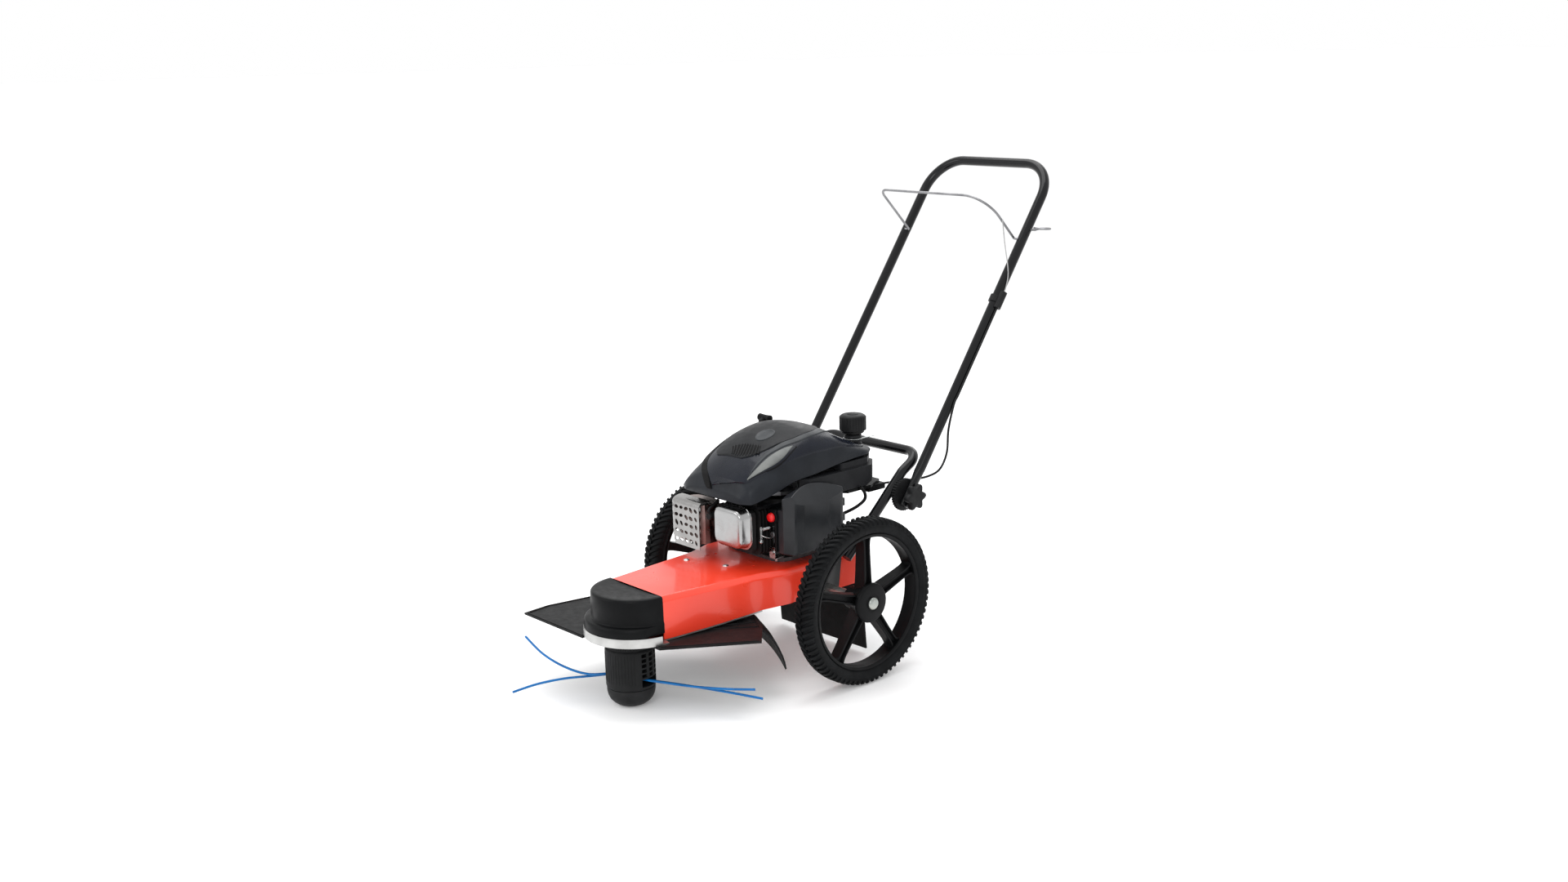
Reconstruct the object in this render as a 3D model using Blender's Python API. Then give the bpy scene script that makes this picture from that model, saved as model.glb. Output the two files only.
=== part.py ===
# Wheeled string trimmer mower: red tapered deck, petrol engine, string head, spoked wheels,
# folding tube handle with a wire bail. Metres, +Z up, nose toward -Y, left side of the machine +X.
import math
import bpy
import bmesh
from mathutils import Matrix, Quaternion, Vector

# Driving dimensions
WHEEL_RADIUS = 0.178
TYRE_HEIGHT = 0.032
TYRE_WIDTH = 0.049
TYRE_CENTRE_X = 0.2525
TYRE_BEAD_RADIUS = WHEEL_RADIUS - TYRE_HEIGHT
RIM_DEPTH = 0.007
RIM_INNER_RADIUS = TYRE_BEAD_RADIUS - RIM_DEPTH
HUB_RADIUS = 0.0425
HUB_INNER_X = 0.215
HUB_OUTER_X = 0.2795
AXLE_RADIUS = 0.008
AXLE_SLEEVE_RADIUS = 0.012
SPOKE_COUNT = 5
LUG_COUNT = 24

GAP = 0.0003
SHEET = 0.003
HEAD_Y = -0.421
NOSE_Y = -0.4000
NOSE_CENTRE_Y = -0.4010
HEAD_RADIUS = 0.0513
COLLAR_RADIUS = 0.047
HEAD_TOP_Z = 0.1460
SPINDLE_RADIUS = 0.0125
HOUSING_RADIUS = 0.0180
HEAD_TURN = math.radians(18)
LINE_RADIUS = 0.0021
UPPER_LINE_Z = 0.0593
LOWER_LINE_Z = 0.0532
COVER_RADIUS = 0.0915
COVER_TOP_Z = 0.2450
COVER_LIP_RADIUS = 0.1065
COVER_LIP_TOP_Z = 0.1890
PLATE_RADIUS = 0.1080
PLATE_Z = 0.1505
PLATE_RIM_Z = 0.1690
PLATE_THICKNESS = 0.003
PLATE_REAR_Y = -0.165
GUARD_THICKNESS = 0.004
GUARD_RADIUS = 0.272
NOTCH_RADIUS = 0.066

DECK_TOP_Z = 0.2435
DECK_NOSE_HALF = 0.0910
DECK_WAIST_HALF = 0.1200
DECK_WAIST_Y = -0.165
DECK_LOW_NOSE_Z = 0.1544
DECK_LOW_REAR_Z = 0.1710
DECK_LOW_REAR_Y = -0.093
DECK_REAR_HALF = 0.1407
FRAME_BAR_THICKNESS = 0.004
DECK_REAR_Y = 0.105
FLAP_Y = 0.1053

CRANK_Y = -0.020
CRANK_RADIUS = 0.0127
PULLEY_Z = 0.2085
DRIVE_PULLEY_RADIUS = 0.0340
HEAD_PULLEY_RADIUS = 0.0380
ENGINE_BASE_Z = 0.2438
BLOCK_TOP_Z = 0.3690
BASE_PLATE_Z = 0.3693
BASE_PLATE_TOP_Z = 0.3752
PRIMER_X = 0.1005
SHROUD_LEFT_FULLNESS = 0.62
SHROUD_RIGHT_FULLNESS = 1.05
PRIMER_Z = 0.3520
NECK_X = 0.060
NECK_Y = 0.160
NECK_TOP_Z = 0.4765
NECK_RADIUS = 0.0200
NECK_BORE_RADIUS = 0.0150
TANK_SHELF_Z = 0.4200
TANK_TOP_Z = 0.4350

TUBE_RADIUS = 0.011
TUBE_WALL = 0.0018
PIVOT_Y = 0.209
PIVOT_Z = 0.350
HANDLE_TOP_Y = 0.691
HANDLE_TOP_Z = 1.030
HANDLE_BEND = 0.085
LOWER_BAR_Y = 0.275
LOWER_BAR_Z = 0.428
DISC_RADIUS = 0.036
DISC_THICKNESS = 0.004
LOWER_X = DECK_REAR_HALF + FRAME_BAR_THICKNESS + 0.0073
HANDLE_X = LOWER_X + 0.0286
BAIL_X = HANDLE_X - 0.0166
BOLT_RADIUS = 0.004
KNOB_RADIUS = 0.030
BAIL_RADIUS = 0.00275
BAIL_PIVOT_Y = 0.570
HANDLE_SLOPE = (HANDLE_TOP_Z - PIVOT_Z) / (HANDLE_TOP_Y - PIVOT_Y)
BAIL_PIVOT_Z = PIVOT_Z + (BAIL_PIVOT_Y - PIVOT_Y) * HANDLE_SLOPE + 0.0137
BAIL_BAR_Y = 0.473
BAIL_BAR_Z = BAIL_PIVOT_Z + 0.101
CABLE_RADIUS = 0.0025
CABLE_X = HANDLE_X + TUBE_RADIUS + GAP + CABLE_RADIUS

# Heights are drawn from the floor under a wheel of this radius, so the axle's height is fixed
AXLE_Z = 0.178

# The origin sits on the floor under the middle of the whole machine
FRAME_Y = 0.03056
FLOOR_Z = AXLE_Z - WHEEL_RADIUS


# Clear the scene
for old in list(bpy.data.objects):
    bpy.data.objects.remove(old, do_unlink=True)


# Materials
def material(name, colour, metallic=0.0, roughness=0.5):
    made = bpy.data.materials.new(name)
    made.use_nodes = True
    shader = made.node_tree.nodes["Principled BSDF"]
    shader.inputs["Base Color"].default_value = (colour[0], colour[1], colour[2], 1.0)
    shader.inputs["Metallic"].default_value = metallic
    shader.inputs["Roughness"].default_value = roughness
    made.diffuse_color = (colour[0], colour[1], colour[2], 1.0)
    return made


def red():
    return (0.80, 0.085, 0.035)


def black():
    return (0.016, 0.017, 0.019)


def charcoal():
    return (0.035, 0.040, 0.046)


def steel():
    return (0.62, 0.63, 0.64)


# Mesh helpers: each returns a closed mesh in world coordinates
def mesh_of(verts, faces):
    shape = bmesh.new()
    made = [shape.verts.new(v) for v in verts]
    for face in faces:
        shape.faces.new([made[i] for i in face])
    bmesh.ops.remove_doubles(shape, verts=shape.verts, dist=1e-7)
    bmesh.ops.recalc_face_normals(shape, faces=shape.faces)
    mesh = bpy.data.meshes.new("shape")
    shape.to_mesh(mesh)
    shape.free()
    return mesh


def place(u, v, w, axis):
    if axis == "X":
        return (w, u, v)
    if axis == "Y":
        return (u, w, v)
    return (u, v, w)


def prism(outline, axis, low, high):
    count = len(outline)
    verts = [place(u, v, low, axis) for u, v in outline]
    verts += [place(u, v, high, axis) for u, v in outline]
    faces = [list(range(count)), list(range(count, 2 * count))]
    for i in range(count):
        j = (i + 1) % count
        faces.append([i, j, count + j, count + i])
    return mesh_of(verts, faces)


def box(x0, x1, y0, y1, z0, z1):
    return prism([(x0, y0), (x1, y0), (x1, y1), (x0, y1)], "Z", z0, z1)


def rounded(u0, u1, v0, v1, radius, steps=3):
    points = []
    corners = ((u1 - radius, v1 - radius, 0), (u0 + radius, v1 - radius, 90),
               (u0 + radius, v0 + radius, 180), (u1 - radius, v0 + radius, 270))
    for cu, cv, start in corners:
        for k in range(steps + 1):
            a = math.radians(start + 90.0 * k / steps)
            points.append((cu + radius * math.cos(a), cv + radius * math.sin(a)))
    return points


def loft(rings):
    count = len(rings[0])
    verts = [p for ring in rings for p in ring]
    faces = [list(range(count)), list(range(count * (len(rings) - 1), count * len(rings)))]
    for r in range(len(rings) - 1):
        for i in range(count):
            j = (i + 1) % count
            faces.append([r * count + i, r * count + j, (r + 1) * count + j, (r + 1) * count + i])
    return mesh_of(verts, faces)


# A turned shape: profile of (radius, height) about a line through centre along axis
def turned(profile, centre, axis, steps=32, ripple=None, closed=False):
    verts = []
    rows = []
    for i, (radius, height) in enumerate(profile):
        row = []
        if radius < 1e-6:
            verts.append(place(0, 0, height, axis))
            row = [len(verts) - 1] * steps
        else:
            for k in range(steps):
                a = 2 * math.pi * k / steps
                r = radius + (ripple(i, k) if ripple else 0.0)
                verts.append(place(r * math.cos(a), r * math.sin(a), height, axis))
                row.append(len(verts) - 1)
        rows.append(row)
    faces = []
    last = len(rows) if closed else len(rows) - 1
    for i in range(last):
        one = rows[i]
        two = rows[(i + 1) % len(rows)]
        for k in range(steps):
            n = (k + 1) % steps
            face = [one[k], one[n], two[n], two[k]]
            kept = []
            for v in face:
                if v not in kept:
                    kept.append(v)
            if len(kept) > 2:
                faces.append(kept)
    if not closed:
        if profile[0][0] >= 1e-6:
            faces.append(rows[0])
        if profile[-1][0] >= 1e-6:
            faces.append(rows[-1])
    verts = [(v[0] + centre[0], v[1] + centre[1], v[2] + centre[2]) for v in verts]
    return mesh_of(verts, faces)


def rod(start, end, radius, count=16):
    return swept([start, end], radius, count)


# Round off the corners of a path of straight pieces
def bent(points, radii, steps=5):
    path = [Vector(points[0])]
    for i in range(1, len(points) - 1):
        here = Vector(points[i])
        radius = radii[i - 1] if isinstance(radii, (list, tuple)) else radii
        back = (Vector(points[i - 1]) - here).normalized()
        ahead = (Vector(points[i + 1]) - here).normalized()
        half = back.angle(ahead) / 2
        if half > math.radians(89) or radius < 1e-6:
            path.append(here)
            continue
        reach = radius / math.tan(half)
        centre = here + (back + ahead).normalized() * (radius / math.sin(half))
        a = here + back * reach - centre
        b = here + ahead * reach - centre
        turn = a.angle(b)
        axis = a.cross(b).normalized()
        for k in range(steps + 1):
            path.append(centre + Quaternion(axis, turn * k / steps) @ a)
    path.append(Vector(points[-1]))
    return path


# Smooth curve through the points
def flowing(points, steps=5):
    knots = [Vector(p) for p in points]
    path = []
    for i in range(len(knots) - 1):
        before = knots[max(i - 1, 0)]
        after = knots[min(i + 2, len(knots) - 1)]
        for k in range(steps):
            t = k / steps
            a = knots[i] * 2
            b = (knots[i + 1] - before) * t
            c = (before * 2 - knots[i] * 5 + knots[i + 1] * 4 - after) * t * t
            d = (knots[i] * 3 - before - knots[i + 1] * 3 + after) * t ** 3
            path.append((a + b + c + d) / 2)
    path.append(knots[-1])
    return path


# The same with straight first and last pieces, so that the ends sit square
def eased(points, steps=3):
    return [Vector(points[0])] + flowing(points[1:-1], steps) + [Vector(points[-1])]


# A round bar or tube along a path; squeeze narrows it across at each station
def swept(path, radius, count=12, squeeze=None, closed=False):
    points = [Vector(p) for p in path]
    total = len(points)
    rings = []
    side = None
    for i in range(total):
        if closed:
            ahead = (points[(i + 1) % total] - points[i - 1]).normalized()
        elif i == 0:
            ahead = (points[1] - points[0]).normalized()
        elif i == total - 1:
            ahead = (points[-1] - points[-2]).normalized()
        else:
            ahead = ((points[i + 1] - points[i]).normalized()
                     + (points[i] - points[i - 1]).normalized()).normalized()
        if side is None:
            start = Vector((1, 0, 0)) if abs(ahead.x) < 0.7 else Vector((0, 0, 1))
            side = start
        side = (side - ahead * side.dot(ahead)).normalized()
        up = ahead.cross(side)
        narrow = squeeze(i) if squeeze else 1.0
        ring = []
        for k in range(count):
            a = 2 * math.pi * k / count
            ring.append(tuple(points[i] + side * (radius * math.cos(a) * narrow)
                              + up * (radius * math.sin(a))))
        rings.append(ring)
    if not closed:
        return loft(rings)
    rings.append(rings[0])
    verts = [p for ring in rings[:-1] for p in ring]
    faces = []
    for r in range(total):
        for i in range(count):
            j = (i + 1) % count
            s = (r + 1) % total
            faces.append([r * count + i, r * count + j, s * count + j, s * count + i])
    return mesh_of(verts, faces)


# Join, cut or keep the common part of closed meshes
def combine(base, others, operation):
    holder = bpy.data.collections.new("tools")
    main = bpy.data.objects.new("main", base)
    bpy.context.scene.collection.objects.link(main)
    tools = []
    for i, mesh in enumerate(others):
        tool = bpy.data.objects.new("tool" + str(i), mesh)
        bpy.context.scene.collection.objects.link(tool)
        modifier = main.modifiers.new("step" + str(i), "BOOLEAN")
        modifier.operation = operation
        modifier.solver = "EXACT"
        modifier.object = tool
        tools.append(tool)
    bpy.context.view_layer.update()
    graph = bpy.context.evaluated_depsgraph_get()
    result = bpy.data.meshes.new_from_object(main.evaluated_get(graph))
    shape = bmesh.new()
    shape.from_mesh(result)
    bmesh.ops.remove_doubles(shape, verts=shape.verts, dist=1e-6)
    shape.to_mesh(result)
    shape.free()
    for tool in tools:
        bpy.data.objects.remove(tool, do_unlink=True)
    bpy.data.objects.remove(main, do_unlink=True)
    bpy.data.collections.remove(holder)
    return result


def fused(*meshes):
    return combine(meshes[0], meshes[1:], "UNION")


def cut(base, *tools):
    return combine(base, tools, "DIFFERENCE")


def common(base, *tools):
    return combine(base, tools, "INTERSECT")


# Put a finished piece in the scene with its own material and origin
def piece(name, mesh, colour, metallic=0.0, roughness=0.5, origin=(0, 0, 0), sharp=38, bevel=0.0):
    mesh.name = name
    mesh.transform(Matrix.Translation(-Vector(origin)))
    mesh.materials.clear()
    mesh.materials.append(material(name + "_material", colour, metallic, roughness))
    made = bpy.data.objects.new(name, mesh)
    made.location = Vector(origin) - Vector((0, FRAME_Y, FLOOR_Z))
    bpy.context.scene.collection.objects.link(made)
    for face in mesh.polygons:
        face.use_smooth = True
        face.material_index = 0
    mesh.set_sharp_from_angle(angle=math.radians(sharp))
    if bevel > 0:
        rounding = made.modifiers.new("edge", "BEVEL")
        rounding.width = bevel
        rounding.segments = 1
        rounding.limit_method = "ANGLE"
        rounding.angle_limit = math.radians(50)
        rounding.use_clamp_overlap = True
    return made


def mirrored(mesh):
    copy = mesh.copy()
    copy.transform(Matrix.Scale(-1, 4, (1, 0, 0)))
    copy.flip_normals()
    return copy


# Deck: folded sheet, narrow at the nose, flaring out beside the engine
def deck_half(y):
    if y < DECK_WAIST_Y:
        share = (y - NOSE_Y) / (DECK_WAIST_Y - NOSE_Y)
        return DECK_NOSE_HALF + (DECK_WAIST_HALF - DECK_NOSE_HALF) * share
    share = min((y - DECK_WAIST_Y) / 0.060, 1.0)
    return DECK_WAIST_HALF + (DECK_REAR_HALF - DECK_WAIST_HALF) * share


def deck_bottom(y):
    share = min((y - NOSE_Y) / (DECK_LOW_REAR_Y - NOSE_Y), 1.0)
    return DECK_LOW_NOSE_Z + (DECK_LOW_REAR_Z - DECK_LOW_NOSE_Z) * share ** 1.5


def deck_rings(inset, extend):
    stations = [NOSE_Y - extend, -0.350, -0.260, DECK_WAIST_Y, -0.105, 0.000, DECK_REAR_Y - inset]
    rings = []
    for y in stations:
        half = deck_half(max(y, NOSE_Y)) - inset
        low = deck_bottom(max(y, NOSE_Y)) - (0.02 if inset else 0.0)
        top = DECK_TOP_Z - inset
        drop = 0.010
        shape = [(-half, low), (-half, top - drop), (-half + drop, top),
                 (half - drop, top), (half, top - drop), (half, low)]
        rings.append([(x, y, z) for x, z in shape])
    return rings


deck = cut(loft(deck_rings(0.0, 0.0)), loft(deck_rings(SHEET, 0.01)))
deck = cut(deck, rod((0, CRANK_Y, 0.20), (0, CRANK_Y, 0.26), 0.020, 24))
for x, y in ((0.018, -0.178), (-0.070, -0.212)):
    deck = fused(deck, turned([(0.0062, DECK_TOP_Z - 0.001), (0.0062, DECK_TOP_Z + 0.003),
                               (0.0035, DECK_TOP_Z + 0.0045)], (x, y, 0), "Z", 8))
deck = cut(deck, rod((-DECK_REAR_HALF - 0.02, 0, AXLE_Z), (DECK_REAR_HALF + 0.02, 0, AXLE_Z),
                     AXLE_SLEEVE_RADIUS + 0.002, 16))
piece("engine_deck", deck, red(), 0.0, 0.32, sharp=30)

# Bottom plate: silver, half round at the nose with an upturned rim, rising with the deck behind
stations = []
for k in range(9):
    a = math.radians(8 + 82.0 * k / 8)
    stations.append((NOSE_CENTRE_Y - PLATE_RADIUS * math.cos(a), PLATE_RADIUS * math.sin(a), PLATE_Z))
stations.append((NOSE_Y, DECK_NOSE_HALF, PLATE_Z))
for y in (-0.350, -0.260, PLATE_REAR_Y):
    stations.append((y, deck_half(y), deck_bottom(y) - PLATE_THICKNESS - GAP))
rings = []
for y, half, z in stations:
    upper = z + PLATE_THICKNESS
    rings.append([(-half, y, z), (half, y, z), (half, y, upper), (-half, y, upper)])
plate = loft(rings)
rim = []
for radius, turn in ((PLATE_RADIUS, 1), (PLATE_RADIUS - 0.0025, -1)):
    for k in range(17):
        a = math.radians(188 + 164 * (k if turn > 0 else 16 - k) / 16)
        rim.append((radius * math.cos(a), NOSE_CENTRE_Y + radius * math.sin(a)))
plate = fused(plate, prism(rim, "Z", PLATE_Z + 0.0005, PLATE_RIM_Z))
plate = cut(plate, rod((0, HEAD_Y, 0.13), (0, HEAD_Y, 0.16), HOUSING_RADIUS + GAP, 24))
piece("bottom_plate", plate, steel(), 0.85, 0.35, sharp=30)


# Belt cover over the nose: half round with a lip and a flat top level with the deck
def nose_outline(radius, back, count=18):
    points = [(radius, back)]
    for k in range(count + 1):
        a = math.radians(-180.0 * k / count)
        points.append((radius * math.cos(a), NOSE_CENTRE_Y + radius * math.sin(a)))
    points.append((-radius, back))
    return points


cover_back = NOSE_Y - GAP
cover = fused(
    prism(nose_outline(COVER_LIP_RADIUS, cover_back), "Z", PLATE_RIM_Z + GAP, COVER_LIP_TOP_Z),
    loft([[(x, y, z) for x, y in nose_outline(COVER_RADIUS - inset, cover_back)]
          for z, inset in ((COVER_LIP_TOP_Z - 0.005, 0.0), (COVER_TOP_Z - 0.004, 0.001), (COVER_TOP_Z, 0.004))]))
cover = cut(cover, prism(nose_outline(COVER_RADIUS - SHEET - 0.002, cover_back + 0.01), "Z",
                         0.1600, COVER_TOP_Z - SHEET))
piece("head_cover", cover, black(), 0.0, 0.42, sharp=30)

# Guard: flat plate with a pointed wing each side, notched round the head, skirt behind
guard_top = PLATE_Z - GAP
outline = []
for k in range(13):
    a = math.radians(-52 + 91.0 * k / 12)
    outline.append((GUARD_RADIUS * math.sin(a), HEAD_Y + GUARD_RADIUS * math.cos(a)))
outline += [(0.229, -0.262), (0.116, -0.432), (0.070, -0.432)]
for k in range(9):
    a = math.radians(180.0 * k / 8)
    outline.append((NOTCH_RADIUS * math.cos(a), HEAD_Y + NOTCH_RADIUS * math.sin(a)))
outline += [(-0.052, -0.500), (-0.262, -0.502), (-0.268, -0.440), (-0.250, -0.330)]
guard = prism(outline, "Z", guard_top - GUARD_THICKNESS, guard_top)


def skirt_section(a, drop, spread):
    points = []
    curve = ((0.262, 0.0), (0.276, 0.10), (0.2865, 0.35), (0.2920, 0.68), (0.2960, 1.0))
    for r, share in curve:
        points.append((r + spread * share, guard_top - 0.001 - drop * share))
    for r, share in reversed(curve):
        points.append((r + spread * share - 0.003, guard_top - 0.0035 - drop * share))
    return [(r * math.sin(a), HEAD_Y + r * math.cos(a), z) for r, z in points]


rings = []
for k in range(13):
    a = math.radians(-50 + 87.5 * k / 12)
    rise = max(0.0, (k - 7) / 5.0)
    rings.append(skirt_section(a, 0.052 + 0.040 * rise, 0.024 * rise * rise))
guard = fused(guard, loft(rings))
for x in (-0.20, -0.12, 0.12, 0.20):
    rib_y = -0.30 if abs(x) > 0.15 else -0.27
    guard = fused(guard, box(x - 0.0015, x + 0.0015, rib_y - 0.06, rib_y + 0.04,
                             guard_top - 0.002, guard_top + 0.0030))
piece("trimmer_guard", guard, black(), 0.0, 0.55, sharp=30)

# Rear flap of rubber, hung on the back of the deck, nearly reaching the ground
rings = []
half = DECK_REAR_HALF - 0.0017
for z, lean in ((0.2350, 0.0), (0.1950, 0.0), (0.1200, 0.001), (0.0600, 0.004), (0.0120, 0.009)):
    y = FLAP_Y + lean
    rings.append([(-half, y, z), (half, y, z), (half, y + 0.004, z), (-half, y + 0.004, z)])
piece("rear_flap", loft(rings), black(), 0.0, 0.8, sharp=30)

# Frame brackets and axle
for side, label in ((1, "left"), (-1, "right")):
    shape = [(-0.045, 0.2400), (0.040, 0.2400), (0.030, 0.1700),
             (0.018, 0.1550), (-0.018, 0.1550), (-0.030, 0.1700)]
    inside = DECK_REAR_HALF + GAP
    outside = inside + FRAME_BAR_THICKNESS
    bracket = prism(shape, "X", inside, outside)
    bracket = cut(bracket, rod((inside - 0.01, 0, AXLE_Z), (outside + 0.01, 0, AXLE_Z),
                               AXLE_SLEEVE_RADIUS + GAP, 24))
    for y in (-0.028, -0.006):
        screw = [(0.007, outside - 0.001), (0.007, outside + 0.0045), (0.004, outside + 0.006)]
        bracket = fused(bracket, turned(screw, (0, y, 0.2200), "X", 6))
    if side < 0:
        bracket = mirrored(bracket)
    piece(label + "_frame_bar", bracket, black(), 0.2, 0.45, sharp=30)

profile = [(AXLE_RADIUS, -HUB_OUTER_X - 0.006), (AXLE_RADIUS, -HUB_INNER_X + GAP),
           (AXLE_SLEEVE_RADIUS, -HUB_INNER_X + GAP), (AXLE_SLEEVE_RADIUS, HUB_INNER_X - GAP),
           (AXLE_RADIUS, HUB_INNER_X - GAP), (AXLE_RADIUS, HUB_OUTER_X + 0.006)]
piece("axle", turned(profile, (0, 0, AXLE_Z), "X", 20), steel(), 0.8, 0.4)


# Wheels: lugged tyre, spoked rim, push cap
def tyre_ripple(i, k):
    if 2 <= i <= 4:
        return 0.0 if (k % 2 == 0) else -0.0045
    if 5 <= i <= 7:
        return 0.0 if (k % 2 == 1) else -0.0045
    return 0.0


half = TYRE_WIDTH / 2
tyre_profile = [(TYRE_BEAD_RADIUS, -half + 0.008), (TYRE_BEAD_RADIUS + 0.012, -half + 0.001),
                (WHEEL_RADIUS - 0.008, -half), (WHEEL_RADIUS - 0.002, -half + 0.008),
                (WHEEL_RADIUS, -0.002), (WHEEL_RADIUS, 0.002),
                (WHEEL_RADIUS - 0.002, half - 0.008), (WHEEL_RADIUS - 0.008, half),
                (TYRE_BEAD_RADIUS + 0.012, half - 0.001), (TYRE_BEAD_RADIUS, half - 0.008)]
for side, label in ((1, "left"), (-1, "right")):
    centre = (side * TYRE_CENTRE_X, 0, AXLE_Z)
    tyre = turned(tyre_profile, centre, "X", LUG_COUNT * 2, tyre_ripple, closed=True)
    piece(label + "_tyre", tyre, black(), 0.0, 0.85, origin=centre, sharp=25)
    face = side * (HUB_OUTER_X - TYRE_CENTRE_X)
    back = side * (HUB_INNER_X - TYRE_CENTRE_X)
    seat_radius = TYRE_BEAD_RADIUS * math.cos(math.pi / (LUG_COUNT * 2)) - GAP
    ring_profile = [(RIM_INNER_RADIUS, -0.0165), (seat_radius, -0.0190), (seat_radius, 0.0190),
                    (RIM_INNER_RADIUS, 0.0165)]
    rim = turned(ring_profile, centre, "X", 32, closed=True)
    hub_profile = [(AXLE_RADIUS + 0.0001, back), (0.024, back), (0.028, side * -0.010),
                   (HUB_RADIUS - 0.004, side * 0.014), (HUB_RADIUS, side * 0.017),
                   (HUB_RADIUS - 0.003, face), (AXLE_RADIUS + 0.0001, face)]
    hub = turned(hub_profile, centre, "X", 20, closed=True)
    spokes = []
    for k in range(SPOKE_COUNT):
        turn = math.radians(90 + 360.0 * k / SPOKE_COUNT)
        rings = []
        for r, wide, deep in ((0.026, 0.0115, 0.0150), (RIM_INNER_RADIUS + 0.004, 0.0085, 0.0125)):
            ring = []
            for u, v in ((-wide, -deep), (-wide, deep), (-wide * 0.45, deep), (-wide * 0.45, deep * 0.25),
                         (wide * 0.45, deep * 0.25), (wide * 0.45, deep), (wide, deep), (wide, -deep)):
                y = r * math.cos(turn) - u * math.sin(turn)
                z = r * math.sin(turn) + u * math.cos(turn)
                ring.append((centre[0] + side * v, y, AXLE_Z + z))
            rings.append(ring)
        spokes.append(loft(rings))
    piece(label + "_rim", fused(rim, hub, *spokes), black(), 0.0, 0.45, origin=centre, sharp=30)
    cap = [(AXLE_RADIUS + GAP, face + side * GAP), (0.0135, face + side * GAP),
           (0.0135, face + side * 0.003), (0.0105, face + side * 0.0062),
           (AXLE_RADIUS + GAP, face + side * 0.0062)]
    piece(label + "_hub_cap", turned(cap, centre, "X", 16, closed=True), steel(), 0.9, 0.3, origin=centre)

# String head: windowed drum on the spindle
head_centre = (0, HEAD_Y, 0)
profile = [(0.0, 0.0410), (HEAD_RADIUS - 0.0025, 0.0410), (HEAD_RADIUS, 0.0450), (HEAD_RADIUS, 0.1240),
           (COLLAR_RADIUS, 0.1275), (COLLAR_RADIUS, HEAD_TOP_Z), (0.0, HEAD_TOP_Z)]
drum = turned(profile, head_centre, "Z", 28)
across = Vector((math.cos(HEAD_TURN), math.sin(HEAD_TURN), 0))
along = Vector((-math.sin(HEAD_TURN), math.cos(HEAD_TURN), 0))


def head_block(r0, r1, w, z0, z1, shift=0.0):
    middle = Vector(head_centre) + along * shift
    corners = [middle + across * r0 - along * w, middle + across * r1 - along * w,
               middle + across * r1 + along * w, middle + across * r0 + along * w]
    return prism([(c.x, c.y) for c in corners], "Z", z0, z1)


tools = [head_block(-0.07, 0.07, 0.0125, 0.0480, 0.0640),
         head_block(0.020, 0.07, 0.0290, 0.0475, 0.0650), head_block(-0.07, -0.020, 0.0290, 0.0475, 0.0650)]
for side in (1, -1):
    for k in range(4):
        low = 0.0720 + 0.0130 * k
        for shift in (-0.012, 0.012):
            tools.append(head_block(side * 0.043, side * 0.07, 0.009, low, low + 0.0070, shift))
drum = cut(drum, *tools)
spindle = turned([(0.0, 0.0415), (0.0052, 0.0415), (0.0052, 0.1400), (SPINDLE_RADIUS, 0.1420),
                  (SPINDLE_RADIUS, 0.2215), (0.0, 0.2215)], head_centre, "Z", 16)
ball_bolt = turned([(0.0, 0.0150), (0.0110, 0.0150), (0.0110, 0.0210), (0.0050, 0.0215),
                    (0.0050, 0.0430), (0.0, 0.0430)], head_centre, "Z", 16)
drum = fused(drum, spindle, ball_bolt)
piece("trimmer_head", drum, black(), 0.0, 0.6, origin=(0, HEAD_Y, 0.0930), sharp=30)


def pulley(radius, bore, x, y):
    shape = [(bore, PULLEY_Z - 0.010), (radius + 0.004, PULLEY_Z - 0.009),
             (radius + 0.004, PULLEY_Z - 0.0065), (radius - 0.006, PULLEY_Z - 0.0025),
             (radius - 0.006, PULLEY_Z + 0.0025), (radius + 0.004, PULLEY_Z + 0.0065),
             (radius + 0.004, PULLEY_Z + 0.009), (bore, PULLEY_Z + 0.010)]
    return turned(shape, (x, y, 0), "Z", 24, closed=True)


piece("head_pulley", pulley(HEAD_PULLEY_RADIUS, SPINDLE_RADIUS + GAP, 0, HEAD_Y), steel(), 0.8, 0.45,
      origin=(0, HEAD_Y, PULLEY_Z))

# Mow ball: dished foot that turns freely on its bolt
shape = [(0.0053, 0.0250), (0.0053, 0.0407), (0.0495, 0.0407), (0.0500, 0.0320), (0.0445, 0.0155),
         (0.0320, 0.0045), (0.0180, 0.0000), (0.0130, 0.0000), (0.0130, 0.0250)]
piece("mow_ball", turned(shape, head_centre, "Z", 24, closed=True), charcoal(), 0.0, 0.55,
      origin=(0, HEAD_Y, 0.0200))


# Trimming lines: two strands through the head, four free tips
def strand(sign, level, left_end, right_end):
    inner = []
    for r in (-0.040, -0.015, 0.015, 0.040):
        inner.append(tuple(Vector((0, HEAD_Y, level)) + along * (sign * 0.0078) + across * r))
    return swept(flowing(left_end + inner + right_end, 3), LINE_RADIUS, 6)


def tip(angle, rise, sweep, start_level, reach):
    points = []
    for r in (reach, reach * 0.79, reach * 0.57, reach * 0.36):
        share = (r - 0.05) / (reach - 0.05)
        a = angle + sweep * share
        points.append((r * math.cos(a), HEAD_Y + r * math.sin(a), start_level + rise * share * share))
    return points


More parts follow.
